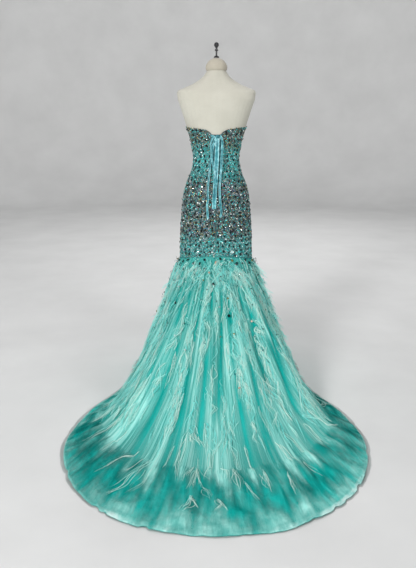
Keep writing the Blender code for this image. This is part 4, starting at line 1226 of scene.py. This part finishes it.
def marquise_stone():
    """Faceted boat-shaped stone of half length 1: points and faces."""
    outline = ((1, 0), (.62, .36), (0, .56), (-.62, .36), (-1, 0), (-.62, -.36), (0, -.56), (.62, -.36))
    table = ((.55, 0), (0, .3), (-.55, 0), (0, -.3))
    points = [(x, y, .1) for x, y in outline] + [(x, y, .34) for x, y in table]
    faces = [(8, 9, 10), (8, 10, 11)]
    for corner in range(4):
        a, b, c = 2 * corner, 2 * corner + 1, (2 * corner + 2) % 8
        near, after = 8 + corner, 8 + (corner + 1) % 4
        faces += [(a, b, near), (b, after, near), (b, c, after)]
    return np.array(points), np.array(faces)


def seed_bead():
    """Low dome of a seed bead of half size 1: points and faces."""
    turns = np.arange(5) * 2 * math.pi / 5
    points = np.concatenate((stack(np.cos(turns), np.sin(turns), 0), UP[None]))
    return points, np.array([(k, (k + 1) % 5, 5) for k in range(5)])


def scattered(template, places, normals, spins, sizes, rng):
    """Copies of a template on a surface, each a little tilted: their points and faces."""
    points, faces = template
    up = unit(normals + STONE_TILT * rng.normal(size=normals.shape))
    side = unit(np.cross(up, UP + .01 * rng.normal(size=normals.shape)))
    ahead = np.cross(up, side)
    cos, sin = np.cos(spins)[:, None], np.sin(spins)[:, None]
    x_axis = side * cos + ahead * sin
    y_axis = ahead * cos - side * sin
    local = points[None] * sizes[:, None, None]
    world = (places[:, None] + local[..., :1] * x_axis[:, None] + local[..., 1:2] * y_axis[:, None]
             + local[..., 2:] * up[:, None])
    numbers = faces[None] + (np.arange(len(places)) * len(points))[:, None, None]
    return world.reshape(-1, 3), numbers.reshape(-1, 3)


def add_stones(name, groups, materials, rng):
    """One piece from groups of template, material number, (places, normals), sizes, colours and spins."""
    points, faces, numbers, colours = [], [], [], []
    total = 0
    for template, number, (places, normals), sizes, tints, spins in groups:
        if len(places):
            world, corners = scattered(template, places, normals, spins, sizes, rng)
            points.append(world)
            faces.append(corners + total)
            numbers.append(np.full(len(corners), number))
            colours.append(np.repeat(tints, len(template[0]), axis=0))
            total += len(world)
    piece = add_mesh(name, np.concatenate(points), faces, materials, np.concatenate(numbers))
    layer = piece.data.color_attributes.new("stone", "FLOAT_COLOR", "POINT")
    full = np.concatenate((np.concatenate(colours), np.ones((total, 1))), axis=1)
    layer.data.foreach_set("color", np.asarray(full, np.float32).ravel())
    return stand_for(piece, "beaded_bodice")


def bodice_sites(rng, pitch, uneven):
    """Angle and height of each stone's place, evenly spread over the whole bodice."""
    fine = np.arange(-180, 180, 1)
    angles, heights = [], []
    level, top = BEADED_HEIGHTS
    while level < top:
        ring = figure_point(fine, level)
        steps = np.linalg.norm(np.diff(np.concatenate((ring, ring[:1])), axis=0), axis=1)
        total = steps.sum()
        count = int(total / pitch)
        at = (np.arange(count) + rng.uniform(0, 1)) / count * total + rng.normal(0, uneven, count)
        angles.append(np.interp(at % total, np.concatenate(((0,), np.cumsum(steps))), np.append(fine, 180)))
        heights.append(level + rng.normal(0, uneven, count))
        level += pitch * .87
    return np.concatenate(angles), np.concatenate(heights)


def near_any(points, centres, reach):
    """Which points lie within reach of any of the centres."""
    tree = kdtree.KDTree(len(centres))
    for number, centre in enumerate(centres):
        tree.insert(centre, number)
    tree.balance()
    return np.array([tree.find(point)[2] < reach for point in points])


def pick_colours(heights, rng):
    """The name of a colour for each stone, by the height band it lies in."""
    at = heights + rng.normal(0, BAND_BLUR, len(heights))
    draw = rng.uniform(0, 1, len(heights))
    picked = np.full(len(heights), "teal", "U8")
    for top, shares in BANDS:
        here = at <= top
        limits = np.cumsum(list(shares.values())) / sum(shares.values())
        number = np.minimum(np.searchsorted(limits, draw[here]), len(shares) - 1)
        picked[here] = np.array(list(shares))[number]
    return picked


def colours_of(names):
    """Colours of stones from their names."""
    return np.array([STONE_COLOURS[name] for name in names])


def inside_panel(panel, angle, height, beside, below, above):
    """Which places lie inside a bodice panel, clear of its sides, its bottom and the top edge."""
    left, right = panel_edges(*panel, height)
    around = np.where((angle < 0) & (panel[2] > 180), angle + 360, angle)
    margin = np.degrees(beside / BODICE_RADIUS)
    return ((around > left + margin) & (around < right - margin) & (height > seam_height(angle) + below)
            & (height < top_edge(angle) - above))


def add_bodice_beads(materials):
    """Stones and beads of each bodice panel, one piece a panel."""
    rng = np.random.default_rng(11)
    angle, height = bodice_sites(rng, STONE_PITCH, STONE_UNEVEN)
    gem_angle, gem_height = bodice_sites(rng, GEM_PITCH, GEM_UNEVEN)
    apart = ~near_any(figure_point(angle, height), figure_point(gem_angle, gem_height), GEM_CLEAR)
    angle, height = angle[apart], height[apart]
    names = pick_colours(height, rng)
    tints = colours_of(names) * STONE_SHADE * rng.uniform(.35, 1.65, (len(names), 1))
    shiny = np.isin(names, ("silver", "white", "gold"))
    dark = np.isin(names, ("dark", "deep", "violet"))
    kind = rng.uniform(0, 1, len(angle))
    marquise = (kind < DARK_BOAT_SHARE) & dark | (kind < BOAT_SHARE)
    seeds = ~marquise & (kind > ROUND_SHARE)
    rounds = ~marquise & ~seeds
    made = {}
    for panel in BODICE_PANELS:
        inside = inside_panel(panel, angle, height, .0028, .0026, -.0018)
        groups = []
        for chosen, template, halves in ((marquise, marquise_stone(), BOAT_HALF_LENGTH),
                                         (rounds, round_stone(), ROUND_HALF_SIZE)):
            for number, part in ((0, ~shiny), (1, shiny)):
                use = inside & chosen & part
                spins = rng.uniform(0, math.pi, use.sum())
                placed = figure_at(angle[use], height[use], SHEATH_WALL / 2 - STONE_SUNK)
                sizes = rng.uniform(*halves, use.sum())
                groups.append((template, number, placed, sizes, tints[use], spins))
        short, long = GEM_HALF_LENGTH
        use = inside_panel(panel, gem_angle, gem_height, short, long, short)
        shade = rng.uniform(.5, 2.2, (use.sum(), 1)) * np.array(STONE_COLOURS["dark"])
        spins = rng.normal(math.pi / 2, .55, use.sum())
        placed = figure_at(gem_angle[use], gem_height[use], SHEATH_WALL / 2 + GEM_RAISED)
        groups.append((marquise_stone(), 3, placed, rng.uniform(short, long, use.sum()), shade, spins))
        use = np.repeat(np.flatnonzero(inside), np.where(seeds[inside], 4, 2))
        near_angle = angle[use] + np.degrees(rng.uniform(-SEED_SPREAD, SEED_SPREAD, len(use)) / SEED_RADIUS)
        near_height = height[use] + rng.uniform(-SEED_SPREAD, SEED_SPREAD, len(use))
        near_height = np.minimum(near_height, top_edge(near_angle) + .0022)
        near_height = np.maximum(near_height, seam_height(near_angle) + .0012)
        spins = rng.uniform(0, 6.28, len(use))
        placed = figure_at(near_angle, near_height, SHEATH_WALL / 2 - SEED_SUNK)
        sizes = rng.uniform(*SEED_HALF_SIZE, len(use))
        shade = tints[use] * rng.uniform(.7, 1.4, (len(use), 1))
        groups.append((seed_bead(), 2, placed, sizes, shade, spins))
        made[panel[0]] = add_stones("beads_" + panel[0], groups, materials, rng)
    return made


def add_skirt_stones(materials):
    """Stones sewn on the skirt and along its seam, and small scattered beads."""
    rng = np.random.default_rng(23)
    groups = []

    def group(template, number, angle, row, sizes, names, spins, out=STONE_OUT):
        placed = skirt_at(angle, row, out)
        groups.append((template, number, placed, np.array(sizes), colours_of(names), spins))

    for number, wanted in ((3, ("dark", "deep")), (0, ("olive", "rose")), (1, ("silver", "white"))):
        chosen = [stone for stone in SKIRT_STONES if stone[3] in wanted]
        group(round_stone(), number, *zip(*chosen), rng.uniform(0, 1, len(chosen)))
    angle, row, names = zip(*SEAM_STONES)
    group(marquise_stone(), 3, angle, row, rng.uniform(*SEAM_STONE_HALF, len(names)), names,
          rng.uniform(.6, 2.5, len(names)), SEAM_STONE_OUT)
    # Dark beads along the seam: partly painted shade under the bodice's lower edge
    angle = np.linspace(-180, 180, SEAM_SHADE_BEADS, endpoint=False)
    group(round_stone(), 3, angle, SEAM_BEAD_ROW, rng.uniform(*SEAM_BEAD_HALF, SEAM_SHADE_BEADS),
          ["deep"] * SEAM_SHADE_BEADS, rng.uniform(0, 1, SEAM_SHADE_BEADS), SEAM_BEAD_OUT)
    angle = rng.uniform(-180, 180, SKIRT_BEADS)
    row = rng.uniform(*SKIRT_BEAD_ROWS, SKIRT_BEADS) ** 1.5
    names = rng.choice(("deep", "deep", "silver", "dark", "dark"), SKIRT_BEADS)
    group(round_stone(), 3, angle, row, rng.uniform(*SKIRT_BEAD_HALF, SKIRT_BEADS), names,
          rng.uniform(0, 1, SKIRT_BEADS))
    add_stones("skirt_stones", groups, materials, rng)


def even_rows(stretches):
    """Rows through several stretches of first, last and number of steps."""
    return np.array([0] + [first + (last - first) * k / count for first, last, count in stretches
                           for k in range(1, count + 1)])


def gore_grid(first, last, step, rows):
    """Angles and rows of one gore's points, with the seam gap at its two sides."""
    count = max(2, round((last - first) / step))
    angle, row = np.meshgrid(np.linspace(first, last, count + 1), rows)
    middle = on_grid(SKIRT_POINTS, angle, row)
    inset = np.degrees(SEAM_GAP / 2 / np.hypot(middle[..., 0], middle[..., 1]))
    angle[:, 0] += inset[:, 0]
    angle[:, -1] -= inset[:, -1]
    return angle, row


def finish_gore(piece, slot_name, node, angle, row, **columns):
    """Cut and values of a gore of the skirt, which rides on the part's body in place of its CAD node."""
    add_cut(piece, (angle + 180) / 360, row / TULLE_EDGE_ROW)
    lying = smoothstep(*CREASED_ROWS, row)
    folded = lying * np.interp(np.abs(turned(angle)), *CREASED_MORE)
    add_values(piece, lying=lying, folded=folded, **columns)
    declare(stand_for(piece, slot_name, node), node)


def patches(table, angle, row):
    """Sum of the soft patches of a table at places of the skirt."""
    return sum(change * np.exp(-(turned(angle - middle) / wide) ** 2 - ((row - at) / long) ** 2)
               for middle, at, wide, long, change in table)


def streaks(table, angle, row):
    """Sum of the soft streaks of a table, which wander a little on their way down."""
    return sum(size * np.sin(often * angle + turn * np.sin(2.1 * row + phase) + phase)
               for often, turn, phase, size in table)


def satin_painted_light(angle, row):
    """How light the satin looks, 0 to 1, as painted light and shade: painted shade where it lies on the
    floor, painted light and dark streaks and patches on the train, painted light in the deep folds.
    """
    down = np.interp(row, SATIN_PAINTED_LIGHT_DOWN["row"], SATIN_PAINTED_LIGHT_DOWN["light"])
    on_floor = smoothstep(*SATIN_ON_FLOOR, row)
    moved = (on_floor * streaks(SATIN_PAINTED_STREAKS, angle, row)
             + SATIN_PAINTED_PATCH_SHARE * patches(SATIN_PAINTED_PATCHES, angle, row))
    # Painted shade on the floor, less the painted light in the deep folds
    painted_shade = on_floor * np.interp(turned(angle), *SATIN_PAINTED_SHADE) - SATIN_PAINTED_FOLD_LIGHT * deepness(angle, row)
    return np.clip(down - painted_shade + moved, 0, 1)


def add_satin(material):
    """The nine gores of the satin skirt."""
    for name, first, last in SATIN_GORES:
        step = SATIN_STEP[max(abs(first), abs(last)) > TRAIN_ANGLE]
        angle, row = gore_grid(first, last, step, even_rows(SKIRT_STEPS))
        sides = [skirt_at(angle, row, side * SATIN_WALL / 2)[0] for side in (1, -1)]
        for side, lowest in zip(sides, SATIN_LOWEST):
            side[..., 2] = np.maximum(side[..., 2], lowest)
        piece = add_wall(name + "_cloth", *sides, material)
        # The light value carries the satin's painted light and shade
        finish_gore(piece, "skirt_satin", name, angle, row, light=satin_painted_light(angle, row))


def haze(angle, row):
    """How much the net over the satin covers it."""
    on_floor = smoothstep(*HAZE_ON_FLOOR, row)
    waves = streaks(HAZE_STREAKS, angle, row)
    down = np.interp(row - HAZE_RAGGED * on_floor * waves, HAZE_DOWN["row"], HAZE_DOWN["cover"])
    aside_less = 1 - on_floor * np.interp(turned(angle), *HAZE_LESS) * (row < HEM_ROW)
    hanging, gained, lost = HAZE_UNEVEN
    uneven = hanging + gained * on_floor - lost * smoothstep(*HAZE_CALMS, row)
    covered = down * (1 + uneven * waves) * aside_less + patches(HAZE_PATCHES, angle, row)
    return np.clip(covered * (1 - HAZE_LEFT_OUT_OF_FOLDS * deepness(angle, row)), *HAZE_LIMITS)


def painted_hem_highlight(angle, row):
    """Painted highlight where the turned-up hem catches the light, 0 to 1."""
    along = sum(strong * bell(angle, at, wide) for at, wide, strong in HEM_PAINTED_HIGHLIGHTS)
    rise, fall = HEM_PAINTED_HIGHLIGHT_ROWS
    return np.clip(along * smoothstep(*rise, row) * (1 - smoothstep(*fall, row)), 0, 1)


def add_tulle(material):
    """The four gores of the net over the satin, a little longer than it."""
    rows = even_rows(SKIRT_STEPS + TULLE_STEPS)
    for place, first, last in OVER_GORES:
        name = "tulle_" + place
        angle, row = gore_grid(first, last, TULLE_STEP[place != "back"], rows)
        reach = np.interp(np.abs(turned(angle)), *RIM_SHOWN) + .1 * hem_waves(angle * 2.3)
        ragged = np.where(row > HEM_ROW, HEM_ROW + (row - HEM_ROW) * reach, row)
        out = TULLE_OUT * (1 - smoothstep(HEM_ROW, HEM_ROW + .6, row))
        points, _ = skirt_at(angle, np.minimum(ragged, TULLE_EDGE_ROW), out)
        points[..., 2] = np.maximum(points[..., 2], TULLE_LOWEST)
        index = np.arange(angle.size).reshape(angle.shape)
        piece = add_mesh(name + "_net", points, [cells(index)[:, ::-1]], [material])
        rim = smoothstep(HEM_ROW, HEM_ROW + .08, row)
        cover = haze(angle, row) * (1 - rim) + RIM_COVER * rim
        # The silver value carries the painted hem highlight
        finish_gore(piece, "tulle", name, angle, row, haze=cover, rim=rim, silver=painted_hem_highlight(angle, row))


def frond_origins(rng):
    """Angle and row of each frond's root, thinner along the deep folds and towards the floor."""
    across, down = [np.linalg.norm(np.gradient(SKIRT_POINTS, axis=axis), axis=-1) for axis in (1, 0)]
    size = (across * down) ** .75
    most = size[:95].max()
    angles, rows = [], []
    while len(angles) < FROND_COUNT:
        angle = rng.uniform(-180, 180, FROND_TRIES)
        row = rng.uniform(*FROND_START, FROND_TRIES)
        streak = .5 + .34 * np.sin(angle * .83 + 1.3 * np.sin(row * 5)) + .34 * np.sin(angle * 1.97 + 2)
        thin = np.interp(row, *FROND_DENSITY)
        weight = on_grid(size, angle, row) / most * thin * streak * (1 - .93 * deepness(angle, row))
        keep = rng.uniform(0, 1.3, FROND_TRIES) < weight
        angles += angle[keep].tolist()
        rows += row[keep].tolist()
    return np.array(angles[:FROND_COUNT]), np.array(rows[:FROND_COUNT])


def curls(rng, count, share, size):
    """Sideways waves of many barbs along their length, each with its own."""
    often = rng.uniform(4.5, 11, (count, 1))
    phase = rng.uniform(0, 2 * math.pi, (count, 1))
    high = rng.normal(0, size, (count, 1))
    return high * (np.sin(often * share + phase) - np.sin(phase))


def place_barbs(angle, row, out):
    """Points just above the skirt and its normals there."""
    points, normals = skirt_at(angle, row, out)
    points[..., 2] = np.maximum(points[..., 2], BARB_LOWEST)
    return points, normals


def lay_barbs(rng, angle, row):
    """Centre lines and normals of the barbs of many fronds that hang from their roots."""
    t = np.array(BARB_STATIONS)
    lengths = rng.uniform(*FROND_LENGTH, len(angle)) * np.interp(row, (0, .3, .94), (.75, 1, 1.1))
    headings = np.tan(np.radians(rng.normal(0, FROND_HEADING, len(angle))))
    frond = np.repeat(np.arange(len(angle)), FROND_BARBS)
    total = len(frond)
    long = lengths[frond][:, None]
    length = (lengths[frond] * rng.uniform(.45, 1, total))[:, None]
    down = rng.uniform(0, .35, (total, 1)) * long + length * t
    sway = rng.uniform(-.01, .01, len(angle))[frond][:, None]
    sway = sway * np.sin(down / long * 4 + frond[:, None] * 1.7)
    lateral = (rng.normal(0, .0017, (total, 1)) + rng.normal(0, FROND_SPREAD, (total, 1)) * t ** 1.4 + sway
               + curls(rng, total, t, .0022) + headings[frond][:, None] * down)
    rows = row_after(angle[frond], row[frond], down)
    around = aside(angle[frond][:, None] + 0 * rows, rows, lateral)
    lift = rng.uniform(0, .008, (total, 1)) * np.sin(t * 2.6 + .3)
    return place_barbs(around, rows, FROND_OUT + rng.uniform(0, .003, (total, 1)) + lift), frond


def barb_deepness(centre):
    """How far into a narrow deep fold each barb lies, on average."""
    angle = np.degrees(np.arctan2(centre[..., 0], -centre[..., 1]))
    row = 1 - centre[..., 2] / seam_height(angle)
    return deepness(angle, row).mean(axis=1)


def clump_lines(rng):
    """Centre lines and normals of the barbs of each long clump."""
    t = np.array(CLUMP_STATIONS)
    for a0, r0, a1, r1, a2, r2, count, spread in CLUMPS:
        share = rng.uniform(0, .25, (count, 1)) + rng.uniform(.6, .78, (count, 1)) * t
        angle, row = [np.interp(share, (0, .5, 1), ends) for ends in ((a0, a1, a2), (r0, r1, r2))]
        lateral = (rng.normal(0, .003, (count, 1)) + rng.normal(0, spread, (count, 1)) * share ** 1.3
                   + curls(rng, count, share, .0044))
        out = .0034 + rng.uniform(0, .004, (count, 1)) * np.sin(share * 3) ** 2
        yield place_barbs(aside(angle, row, lateral), row, out)


def wisp_lines(rng):
    """Centre lines and normals of each loose wisp, which curls away from the skirt."""
    t = np.array(CLUMP_STATIONS)
    loose = zip(rng.uniform(-180, 180, LOOSE_WISPS), rng.uniform(0, .95, LOOSE_WISPS) ** 1.2,
                rng.uniform(.04, .09, LOOSE_WISPS), rng.uniform(.004, .018, LOOSE_WISPS),
                rng.integers(1, 4, LOOSE_WISPS))
    for angle, row, length, reach, count in (*WISPS, *loose):
        down = length * rng.uniform(.6, 1, (count, 1)) * t
        rows = row_after(np.full(count, angle), np.full(count, row), down)
        lateral = rng.normal(0, .012, (count, 1)) * t + curls(rng, count, t, .0045)
        away = reach * rng.uniform(.4, 1, (count, 1)) * t ** 1.5 + np.abs(curls(rng, count, t, .003))
        yield place_barbs(aside(angle + 0 * rows, rows, lateral), rows, .005 + away)


def add_barbs(name, node, lines, widths, tone, rng, material):
    """Thin tapered strips along lines of points, as one piece."""
    centre, normals = lines
    count, stations = centre.shape[:2]
    side = unit(np.cross(unit(np.gradient(centre, axis=1)), normals))
    twist = rng.uniform(-.8, .8, (count, 1, 1))
    side = side * np.cos(twist) + normals * np.sin(twist)
    taper = 1 - .55 * np.arange(stations - 1) / (stations - 1)
    reach = side[:, :-1] * (widths[:, None] * taper / 2)[..., None]
    points = np.concatenate((centre[:, :-1] - reach, centre[:, :-1] + reach, centre[:, -1:]), axis=1)
    base = (np.arange(count) * points.shape[1])[:, None]
    k = np.arange(stations - 2)
    quads = np.stack([base + k, base + k + 1, base + k + stations, base + k + stations - 1], axis=-1)
    last = stations - 2
    tips = np.concatenate((base + last, base + 2 * (stations - 1), base + last + stations - 1), axis=1)
    piece = add_mesh(name, points, [quads.reshape(-1, 4), tips], [material])
    shade = tone[:, None] + .22 * np.linspace(0, 1, stations)
    add_values(piece, tone=np.concatenate((shade[:, :-1], shade[:, :-1], shade[:, -1:]), axis=1))
    stand_for(piece, "feathers", "feathers_" + node)


def add_fronds(material):
    """Feather fronds over the whole skirt, a piece for each of its four gores, and long and loose ones."""
    rng = np.random.default_rng(7)
    angle, row = frond_origins(rng)
    (centre, normals), frond = lay_barbs(rng, angle, row)
    clear = barb_deepness(centre) < rng.uniform(*FROND_DEEPEST, len(frond))
    centre, normals, frond = centre[clear], normals[clear], frond[clear]
    count = len(frond)
    thick = rng.uniform(0, 1, count) < THICK_BARB_SHARE
    widths = np.where(thick, rng.uniform(*THICK_BARB_WIDTH, count), rng.uniform(*BARB_WIDTH, count))
    tone = rng.uniform(.15, .8, len(angle))[frond] + rng.normal(0, .15, count) + .2 * thick
    for place, first, last in OVER_GORES:
        at = turned(angle[frond])
        at = np.where(at < first, at + 360, at)
        here = (at >= first) & (at < last)
        lines = centre[here], normals[here]
        add_barbs("fronds_" + place, place, lines, widths[here], tone[here], rng, material)
    long, loose = [[np.concatenate(arrays) for arrays in zip(*make(rng))]
                   for make in (clump_lines, wisp_lines)]
    for name, node, lines, width, tones in (("fronds_long", "back", long, LONG_BARB_WIDTH, (.6, 1.1)),
                                            ("fronds_loose", "right", loose, WISP_WIDTH, (0, .8))):
        count = len(lines[0])
        add_barbs(name, node, lines, rng.uniform(*width, count), rng.uniform(*tones, count), rng, material)


def dress_the_form(nodes, ribbon):
    """Materials of the form's own nodes and of the small tapes that stay as they are."""
    linen = linen_material("form_linen", (.52, .505, .44), (.455, .44, .378))
    cap = linen_material("form_cap", (.46, .425, .35), (.39, .355, .29))
    dark = metal_material("form_dark", (.022, .022, .024), (.012, .012, .013), 0, .35, (60, 60, 60))
    steel = metal_material("form_steel", (.6, .6, .61), (.5, .5, .51), 1, .3, (60, 60, 900))
    for name, material in (("loop_tape_left", ribbon), ("loop_tape_right", ribbon), ("form_torso", linen),
                           ("form_neck_cap", cap), ("form_finial", dark), ("form_base", dark),
                           ("form_pole", steel)):
        nodes[name].data.materials.clear()
        nodes[name].data.materials.append(material)


def add_studio():
    """Round pale studio with a curved foot, soft lights and pale surroundings."""
    profile = [(2, 0), (5, 0), (STUDIO_RADIUS, 0)]
    for t in np.linspace(.1, math.pi / 2, 10):
        height = STUDIO_CURVE - STUDIO_CURVE * math.cos(t)
        profile.append((STUDIO_RADIUS + STUDIO_CURVE * math.sin(t), height))
    profile += [(STUDIO_RADIUS + STUDIO_CURVE, height) for height in STUDIO_WALL]
    points = [(0, 0, STUDIO_FLOOR)]
    for radius, height in profile:
        for t in np.arange(STUDIO_SIDES) * 2 * math.pi / STUDIO_SIDES:
            points.append((radius * math.cos(t), radius * math.sin(t), height + STUDIO_FLOOR))
    rings = np.arange(1, len(points)).reshape(-1, STUDIO_SIDES)
    rings = np.concatenate((rings, rings[:, :1]), axis=1)
    faces = [(0, *pair) for pair in zip(rings[0], rings[0, 1:])]
    quads = cells(rings)[:, [0, 3, 2, 1]]
    add_mesh("studio", points, [faces, quads], [floor_material()])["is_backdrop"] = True
    for name, place, aim, size, power in LIGHTS:
        data = bpy.data.lights.new(name, "AREA")
        data.shape = "DISK"
        data.size = size
        data.energy = power
        lamp = add_object(name, data)
        lamp.location = place
        x, y, z = np.array(aim) - np.array(place)
        lamp.rotation_euler = (math.atan2(math.hypot(x, y), -z), 0, math.atan2(y, x) - math.pi / 2)
    world = bpy.data.worlds.new("studio_air")
    world.use_nodes = True
    world.node_tree.nodes["Background"].inputs["Color"].default_value = (.94, .96, 1, 1)
    world.node_tree.nodes["Background"].inputs["Strength"].default_value = .23
    bpy.context.scene.world = world
    bpy.context.scene.view_settings.view_transform = "Standard"


def main():
    """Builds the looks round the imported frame."""
    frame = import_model()
    cad_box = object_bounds()
    add_camera()
    ribbon = ribbon_material("lacing_satin", 1)
    add_knot(ribbon)
    add_hanging_ribbons(ribbon)
    add_lacing(ribbon)
    # The modesty panel gets the ribbon satin made darker, partly as painted shade of its recess behind the
    # lacing
    add_modesty_panel(ribbon_material("modesty_satin_shaded", .42))
    dress_the_form(frame["nodes"], ribbon)
    stones = [stone_material(*row) for row in STONE_FINISHES]
    beads = add_bodice_beads(stones)
    bodice = bodice_material()
    for panel in BODICE_PANELS:
        add_bodice_panel(panel, bodice, beads[panel[0]])
    add_satin(satin_material())
    add_tulle(tulle_material())
    add_fronds(frond_material())
    add_skirt_stones(stones)
    add_studio()
    [[list(corner) for corner in box] for box in (cad_box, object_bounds())]


main()
